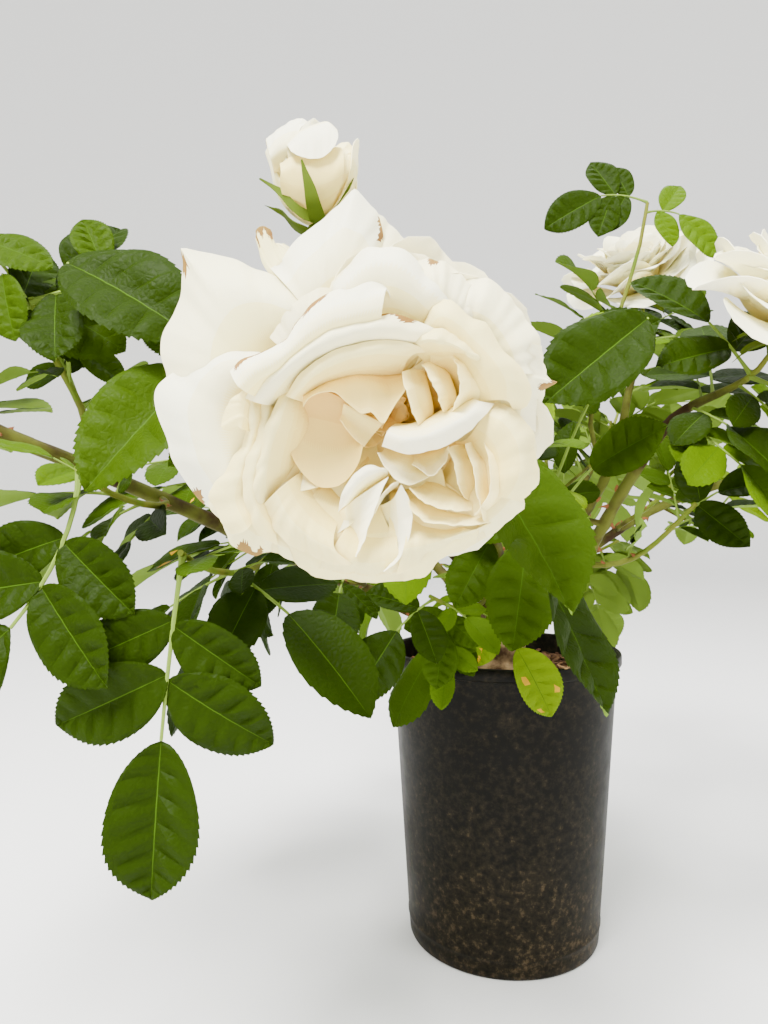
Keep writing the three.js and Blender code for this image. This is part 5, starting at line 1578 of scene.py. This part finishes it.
def add_calyx(heap, name, seed):
    head = Head(name, seed)
    base = head.seat - head.face * (CLEAR + HIP["length"])
    profile = [(HIP["radius"] * r, (HIP["length"] + HIP_OVERLAP) * h) for r, h in HIP_PROFILE]
    points, faces = turned(profile, 20)
    heap.add(aimed(points, base, head.face), faces, HIP_RIND)
    bud, front = name.startswith("bud"), name == "bud_front"
    if front:
        seen = Head(name, seed, BUD_HEART, TO_CAMERA)
        for plan in BUD_SEPALS.values():
            place_petal(heap, seen, plan, kind=SEPAL)
    for k in BEHIND_FRONT_BUD if front else range(HIP["sepals"]):
        form = dict(BUD_SEPAL if bud else BLOOM_SEPAL)
        if bud and k == AJAR:
            form["opened"] = AJAR_OPENED
        turn = math.radians(360 / HIP["sepals"] * k + FIRST_SEPAL)
        rule_petal(heap, head, turn, kind=SEPAL, **POINTED, **form)


calyx_heap = Heap()
for number, name in enumerate(BLOOMS):
    add_calyx(calyx_heap, name, seed_of("calyces", number))
show([calyx_heap.make("calyces", GREEN_PARTS)], "leaf")

# Canes, with their nodes, prickles and side buds

CANE_MATERIALS = [
    plant_material("cane_rind", linear(86, 84, 44), 0.45), plant_material("prickle", linear(112, 70, 44), 0.4),
    plant_material("side_bud", linear(118, 76, 44), 0.5),
]
two_tone(CANE_MATERIALS[0], 38, BARK_BROWN, BARK_GREEN, 0.4, 0.6)
CANE_RIND, THORN, BUD_SCALES = range(3)
CANE = dict(rings=120, sides=13, joints=7, first=0.08, span=0.84, scatter=0.6, swell=0.1, swell_wide=0.013,
            foot_swell=0.3, foot_long=0.03, furrow=0.09, softened=5)
PRICKLE = dict(length=(4, 7), wide=2.3, tall=4.2, per_cane=9, span=(0.06, 0.96), scatter=0.8, sides=10,
               steps=[0, 0.18, 0.42, 0.7, 0.92], sunk=0.6, hook=0.45, slender=1.35, blunt=0.03)
SHOOT_PRICKLE = dict(length=(2.6, 4), per_shoot=3, span=(0.1, 0.8))
SIDE_BUD = dict(sides=10, sunk=0.8, lean=0.55, first_turn=40)
SIDE_BUD_PROFILE = [(0, -1.5), (1.5, -1.2), (1.9, 0.4), (1.5, 2), (0.8, 3.4), (0.2, 4.4), (0, 4.5)]


def add_prickle(heap, limb, share, way_round, length):
    """A hooked prickle: an oval foot that bends back along the limb to a point."""
    seat, way = limb.along(share)
    out = spoke(way, way_round)
    seat = seat + out * limb.radius(share)
    level = np.cross(way, out)
    rings = []
    angles = full_turn(PRICKLE["sides"])
    for t in np.array(PRICKLE["steps"]):
        middle = seat + out * (length * t - PRICKLE["sunk"]) - way * length * PRICKLE["hook"] * t * t
        size = (1 - t) ** PRICKLE["slender"] + PRICKLE["blunt"]
        rings.append(middle + size * (np.cos(angles)[:, None] * way * PRICKLE["tall"] / 2
                                      + np.sin(angles)[:, None] * level * PRICKLE["wide"] / 2))
    tip = seat + out * (length - PRICKLE["sunk"]) - way * length * PRICKLE["hook"]
    points = np.vstack([*rings, seat - out, tip])
    heap.add(points, outwards(points, closed_faces(len(rings), PRICKLE["sides"])), THORN)


def add_side_bud(heap, cane, share, way_round):
    seat, way = cane.along(share)
    out = spoke(way, way_round)
    points, faces = turned(SIDE_BUD_PROFILE, SIDE_BUD["sides"])
    foot = seat + out * cane.radius(share) * SIDE_BUD["sunk"]
    heap.add(aimed(points, foot, unit(out * SIDE_BUD["lean"] + way)), faces, BUD_SCALES)


def add_cane(heap, cane, seed):
    draw = seeded(seed)
    rng = np.random.default_rng(seed)
    rings, sides, count = CANE["rings"], CANE["sides"], CANE["joints"]
    shares = np.linspace(0, 1, rings)
    joints = np.sort([CANE["first"] + CANE["span"] * (k + CANE["scatter"] * draw()) / count for k in range(count)])
    swell = 1 + CANE["swell"] * np.exp(-(((shares[:, None] - joints) / CANE["swell_wide"]) ** 2)).sum(1)
    swell *= 1 + CANE["foot_swell"] * np.exp(-shares / CANE["foot_long"])
    furrows = softened(rng.standard_normal((rings, sides)), CANE["softened"], 0.5)
    bump = swell[:, None] * (1 + CANE["furrow"] * np.clip(furrows, -1, 1))
    heap.add(*tube(cane.finely(rings), [cane.radius(s) for s in shares], sides, bump), CANE_RIND)
    for k in range(PRICKLE["per_cane"]):
        share = lerp(*PRICKLE["span"], (k + PRICKLE["scatter"] * draw()) / PRICKLE["per_cane"])
        add_prickle(heap, cane, share, 2 * math.pi * draw(), lerp(*PRICKLE["length"], draw()))
    for k, share in enumerate(joints):
        add_side_bud(heap, cane, share, math.radians(GOLDEN_TURN * k + SIDE_BUD["first_turn"]))


cane_heap = Heap()
for number, cane in enumerate(canes.values()):
    add_cane(cane_heap, cane, seed_of("canes", number))
for number, name in enumerate(SHOOTS):
    draw = seeded(seed_of("shoot_prickles", number))
    for _ in range(SHOOT_PRICKLE["per_shoot"]):
        share = lerp(*SHOOT_PRICKLE["span"], draw())
        add_prickle(cane_heap, stems[name][0], share, 2 * math.pi * draw(), lerp(*SHOOT_PRICKLE["length"], draw()))
show([cane_heap.make("canes", CANE_MATERIALS)], "cane", *("cane_" + name for name in CANES))

# Stock: the knob that the canes grow from, and its neck and flare at the soil

STOCK_BARK = plant_material("stock_bark", linear(104, 84, 58), 0.85)
two_tone(STOCK_BARK, 90, linear(62, 46, 32), linear(134, 112, 80), 0.38, 0.62)
BARK = dict(rings=44, sides=72, deep=0.035, most=1.4)


def stock_piece():
    foot, flare, knob = SOIL_TOP - 2, STOCK["flare"], STOCK["knob"]
    profile = [(0, foot), (flare, foot), (flare * 0.93, foot + 3), (flare * 0.8, foot + 6)]
    profile.append((knob * STOCK["waist"], foot + STOCK["knob_rise"] * STOCK["waist_rise"] + 2))
    profile += [(knob * math.cos(a), KNOB[2] + knob * math.sin(a)) for a in np.radians(np.linspace(-24, 84, 26))]
    profile = np.array([*profile, (0, KNOB[2] + knob)])
    profile = np.vstack([profile[:1], spline(profile[1:-1], BARK["rings"]), profile[-1:]])
    rough = np.random.default_rng(SEEDS["bark"]).standard_normal((BARK["rings"], BARK["sides"]))
    rough = np.clip(softened(softened(rough, 3, 0.5), 1, 0.6, (1,)), -BARK["most"], BARK["most"])
    heap = Heap()
    heap.add(*turned(profile, BARK["sides"], 1 - BARK["deep"] * np.abs(rough)))
    return heap.make("stock_bark", [STOCK_BARK], sharp=80)


show([stock_piece()], "bark", "stock")

# Pot

POT_BLACK = material("pot_plastic", linear(6, 6, 4), 0.4, Specular_IOR_Level=0.06)


def dusty(made):
    """Black plastic with soil splashed and dried on it, most of it low down."""
    tree, shader = nodes_of(made)
    place = node(tree, "TexCoord", {}).outputs["Object"]
    height = node(tree, "SeparateXYZ", dict(Vector=place)).outputs["Z"]
    low = levels(tree, height, 0.14, 0.0, **{"From Min": 0.0, "From Max": 0.17})
    specks = node(tree, "Math", {0: noise(tree, 210, 7, 0.72), 1: low}).outputs["Value"]
    film = {0: noise(tree, 22, 5, 0.65), 1: 0.22, 2: specks}
    total = node(tree, "Math", film, operation="MULTIPLY_ADD").outputs["Value"]
    black, grey, soil = linear(7, 7, 4), linear(28, 24, 15), linear(72, 60, 42)
    colours = ramp(tree, total, [(0.58, black), (0.76, grey), (0.95, soil)])
    tree.links.new(colours, shader.inputs["Base Color"])
    rough_and_bump(made, scale=70, low=0.32, high=0.56, bump_scale=300, strength=0.12, distance=0.0005)


dusty(POT_BLACK)


def pot_piece():
    """The pot's profile, from the middle of its foot up over the lip and down to its floor of soil."""
    top, base, high = POT["top"], POT["base"], POT["height"]
    outer, lip_low, floor = top + POT["lip"], high - POT["lip_depth"], SOIL_TOP - 12

    def at(z):
        return lerp(base, top, z / high)

    inside = at(high) - POT["wall"]
    profile = [(0, 1.2), (base - 9, 1.2), (base - 7, 0), (base - 2.2, 0), (base - 0.7, 0.8), (base, 2.4)]
    profile += [(at(10), 10), (at(14), 14), (at(15) + 0.5, 15), (at(17) + 0.5, 17), (at(18), 18)]
    profile += [(at(z), z) for z in np.linspace(30, lip_low - 2.2, 14)]
    profile += [(at(lip_low) + 0.3, lip_low - 0.8), (outer - 0.6, lip_low + 0.2), (outer, lip_low + 1.2)]
    profile += [(outer, high - 1.6), (outer - 0.5, high - 0.4), (outer - 1.5, high)]
    profile += [(inside + 1, high), (inside, high - 1), (at(floor) - POT["wall"], floor), (0, floor)]
    heap = Heap()
    heap.add(*turned(profile, 160))
    return heap.make("pot_shell", [POT_BLACK], sharp=40)


show([pot_piece()], "pot", "pot")

# Soil: a lumpy surface, strewn with bark chips, with crumbs on the rim

SOIL_MATERIALS = [
    plant_material("soil_dark", linear(58, 42, 30), 0.95), plant_material("chip_brown", linear(92, 68, 46), 0.9),
    plant_material("chip_pale", linear(138, 110, 76), 0.9), plant_material("chip_dark", linear(64, 44, 32), 0.9),
]
two_tone(SOIL_MATERIALS[0], 260, linear(34, 24, 18), linear(92, 68, 48), 0.35, 0.65)
SOIL_RINGS, SOIL_SIDES = 60, 140
LUMPS = dict(high=1.5, own=0.4, times=2)
CHIP = dict(sides=7, jag=(0.75, 0.4), low=0.8, high=(0.6, 0.6), under=0.6, over=0.7)
CHIPS = dict(count=620, margin=4, length=(3, 12), slender=(0.3, 0.7), thick=(0.8, 2), lift=(0.8, 1.2), lean=0.3)
CRUMBS = dict(count=46, bearing=-64, spread=16, stray=1.6, lift=0.5, length=(1.6, 5), wide=(1, 2.2),
              thick=(0.7, 1.5))


def soil_height(radius):
    edge = POT["top"] - POT["wall"] - SOIL["level_edge"]
    dip = SOIL["dip"] * np.exp(-(((radius / edge - SOIL["dip_at"]) / SOIL["dip_wide"]) ** 2))
    bank = smooth_step((radius - edge + SOIL["bank_wide"]) / SOIL["bank_wide"])
    return SOIL_TOP - dip + SOIL["bank"] * bank


def polar(radius, turn, height):
    return radius * math.cos(turn), radius * math.sin(turn), height


def add_chip(heap, middle, size, spin, lean, kind, rng):
    """A splinter of bark: a bent seven-sided lens with broken corners."""
    sides, (least, more), (plump, plumper) = CHIP["sides"], CHIP["jag"], CHIP["high"]
    angles = full_turn(sides) + spin
    long, wide, thick = size
    jag = least + more * rng.random(sides)
    ring_ = np.stack([np.cos(angles - spin) * long / 2 * jag, np.sin(angles - spin) * wide / 2 * jag], 1)
    ring_ = ring_ @ np.array([[math.cos(spin), math.sin(spin)], [-math.sin(spin), math.cos(spin)]])
    tilt = ring_[:, :1] * lean[0] + ring_[:, 1:] * lean[1]
    low = np.hstack([ring_ * CHIP["low"], tilt * CHIP["low"] - thick / 2])
    high = np.hstack([ring_, tilt + thick / 2 * (plump + plumper * rng.random((sides, 1)))])
    points = np.vstack([low, high, [[0, 0, -thick * CHIP["under"]]], [[0, 0, thick * CHIP["over"]]]]) + middle
    heap.add(points, closed_faces(2, sides), kind)


def soil_piece():
    rng = np.random.default_rng(SEEDS["soil"])
    edge, under = POT["top"] - POT["wall"] - SOIL["edge"], SOIL_TOP - SOIL["thick"]
    radii = np.linspace(0, edge, SOIL_RINGS)[::-1]
    profile = [(0, under), (edge - 1, under), *[(r, soil_height(r)) for r in radii]]
    points, faces = turned(profile, SOIL_SIDES)
    lumps = softened(rng.standard_normal((SOIL_RINGS, SOIL_SIDES)), LUMPS["times"], LUMPS["own"], (0, 1))
    # Every ring but the underside's and the outermost one
    lumpy = slice(SOIL_SIDES * 2, SOIL_SIDES * SOIL_RINGS)
    points[lumpy, 2] += LUMPS["high"] * lumps.ravel()[:SOIL_SIDES * (SOIL_RINGS - 2)]
    heap = Heap()
    heap.add(points, faces)
    for _ in range(CHIPS["count"]):
        radius, turn = (edge - CHIPS["margin"]) * math.sqrt(rng.random()), 2 * math.pi * rng.random()
        long = lerp(*CHIPS["length"], rng.random() ** 2)
        size = (long, long * lerp(*CHIPS["slender"], rng.random()), lerp(*CHIPS["thick"], rng.random()))
        middle = polar(radius, turn, soil_height(radius) + CHIPS["lift"][0] + CHIPS["lift"][1] * rng.random())
        spin, lean = TURN * rng.random(), rng.uniform(-CHIPS["lean"], CHIPS["lean"], 2)
        add_chip(heap, middle, size, spin, lean, rng.integers(0, len(SOIL_MATERIALS)), rng)
    for _ in range(CRUMBS["count"]):
        turn = math.radians(rng.normal(CRUMBS["bearing"], CRUMBS["spread"]))
        radius = POT["top"] + rng.uniform(-CRUMBS["stray"], CRUMBS["stray"])
        size = (rng.uniform(*CRUMBS["length"]), rng.uniform(*CRUMBS["wide"]), rng.uniform(*CRUMBS["thick"]))
        middle = polar(radius, turn, POT["height"] + CRUMBS["lift"])
        add_chip(heap, middle, size, turn + math.pi / 2, (0, 0), rng.integers(1, len(SOIL_MATERIALS)), rng)
    return heap.make("soil_and_bark", SOIL_MATERIALS, sharp=35)


show([soil_piece()], "soil", "soil")

# Stage: a round floor that bends up into a wall, in metres

STAGE = dict(flat=4.0, curve=2.0, wall=6.0, inner=(0.6, 1.6), bend_steps=14, sides=96)
LAMPS = {
    "key": dict(place=(-0.75, -1.45, 2.1), aim=(0, -0.1, 0.35), size=0.9, power=245, colour=(1, 0.985, 0.955)),
    "fill": dict(place=(1.5, -1.3, 1.1), aim=(0, -0.1, 0.35), size=1.4, power=30, colour=(1, 1, 1)),
    "top": dict(place=(0.3, 0.3, 2.2), aim=(0, 0, 0.3), size=1.2, power=40, colour=(1, 1, 1)),
}
SKY_COLOUR, SKY_STRENGTH = (0.93, 0.93, 0.915, 1), 2.0
NEAREST = 0.02


def stage_floor():
    flat, curve, sides = STAGE["flat"], STAGE["curve"], STAGE["sides"]
    arc = np.linspace(0, math.pi / 2, STAGE["bend_steps"])
    bend = [(flat + curve * math.sin(a), curve - curve * math.cos(a)) for a in arc]
    profile = [*((r, 0) for r in STAGE["inner"]), *bend, (flat + curve, STAGE["wall"])]
    points = [(0, 0, 0), *(polar(r, a, z) for r, z in profile for a in full_turn(sides))]
    faces = [(0, 1 + k, 1 + (k + 1) % sides) for k in range(sides)]
    for row in range(len(profile) - 1):
        for k in range(sides):
            a, b = 1 + row * sides + k, 1 + row * sides + (k + 1) % sides
            faces.append((a, a + sides, b + sides, b))
    floor = bpy.data.meshes.new("floor")
    floor.from_pydata(points, [], faces)
    for polygon in floor.polygons:
        polygon.use_smooth = True
    floor.materials.append(material("backdrop", (0.82, 0.82, 0.81), 0.9))
    link(bpy.data.objects.new("backdrop", floor))


def camera():
    made = link(bpy.data.objects.new("camera", bpy.data.cameras.new("camera")))
    made.data.sensor_width = SENSOR
    made.data.lens = FOCAL / FRAME_HIGH * SENSOR
    made.data.clip_start = NEAREST
    made.location = EYE * MM
    made.rotation_euler = (math.pi / 2, 0, 0)
    bpy.context.scene.camera = made


def lamp(name, place, aim, size, power, colour):
    data = bpy.data.lights.new(name, "AREA")
    data.shape, data.size, data.energy, data.color = "DISK", size, power, colour
    made = link(bpy.data.objects.new(name, data))
    made.location = place
    made.rotation_euler = (Vector(aim) - Vector(place)).to_track_quat("-Z", "Y").to_euler()


def studio_light():
    for name, plan in LAMPS.items():
        lamp(name, **plan)
    world = bpy.data.worlds.new("studio")
    world.use_nodes = True
    background = world.node_tree.nodes["Background"]
    background.inputs["Color"].default_value = SKY_COLOUR
    background.inputs["Strength"].default_value = SKY_STRENGTH
    bpy.context.scene.world = world


stage_floor()
camera()
studio_light()
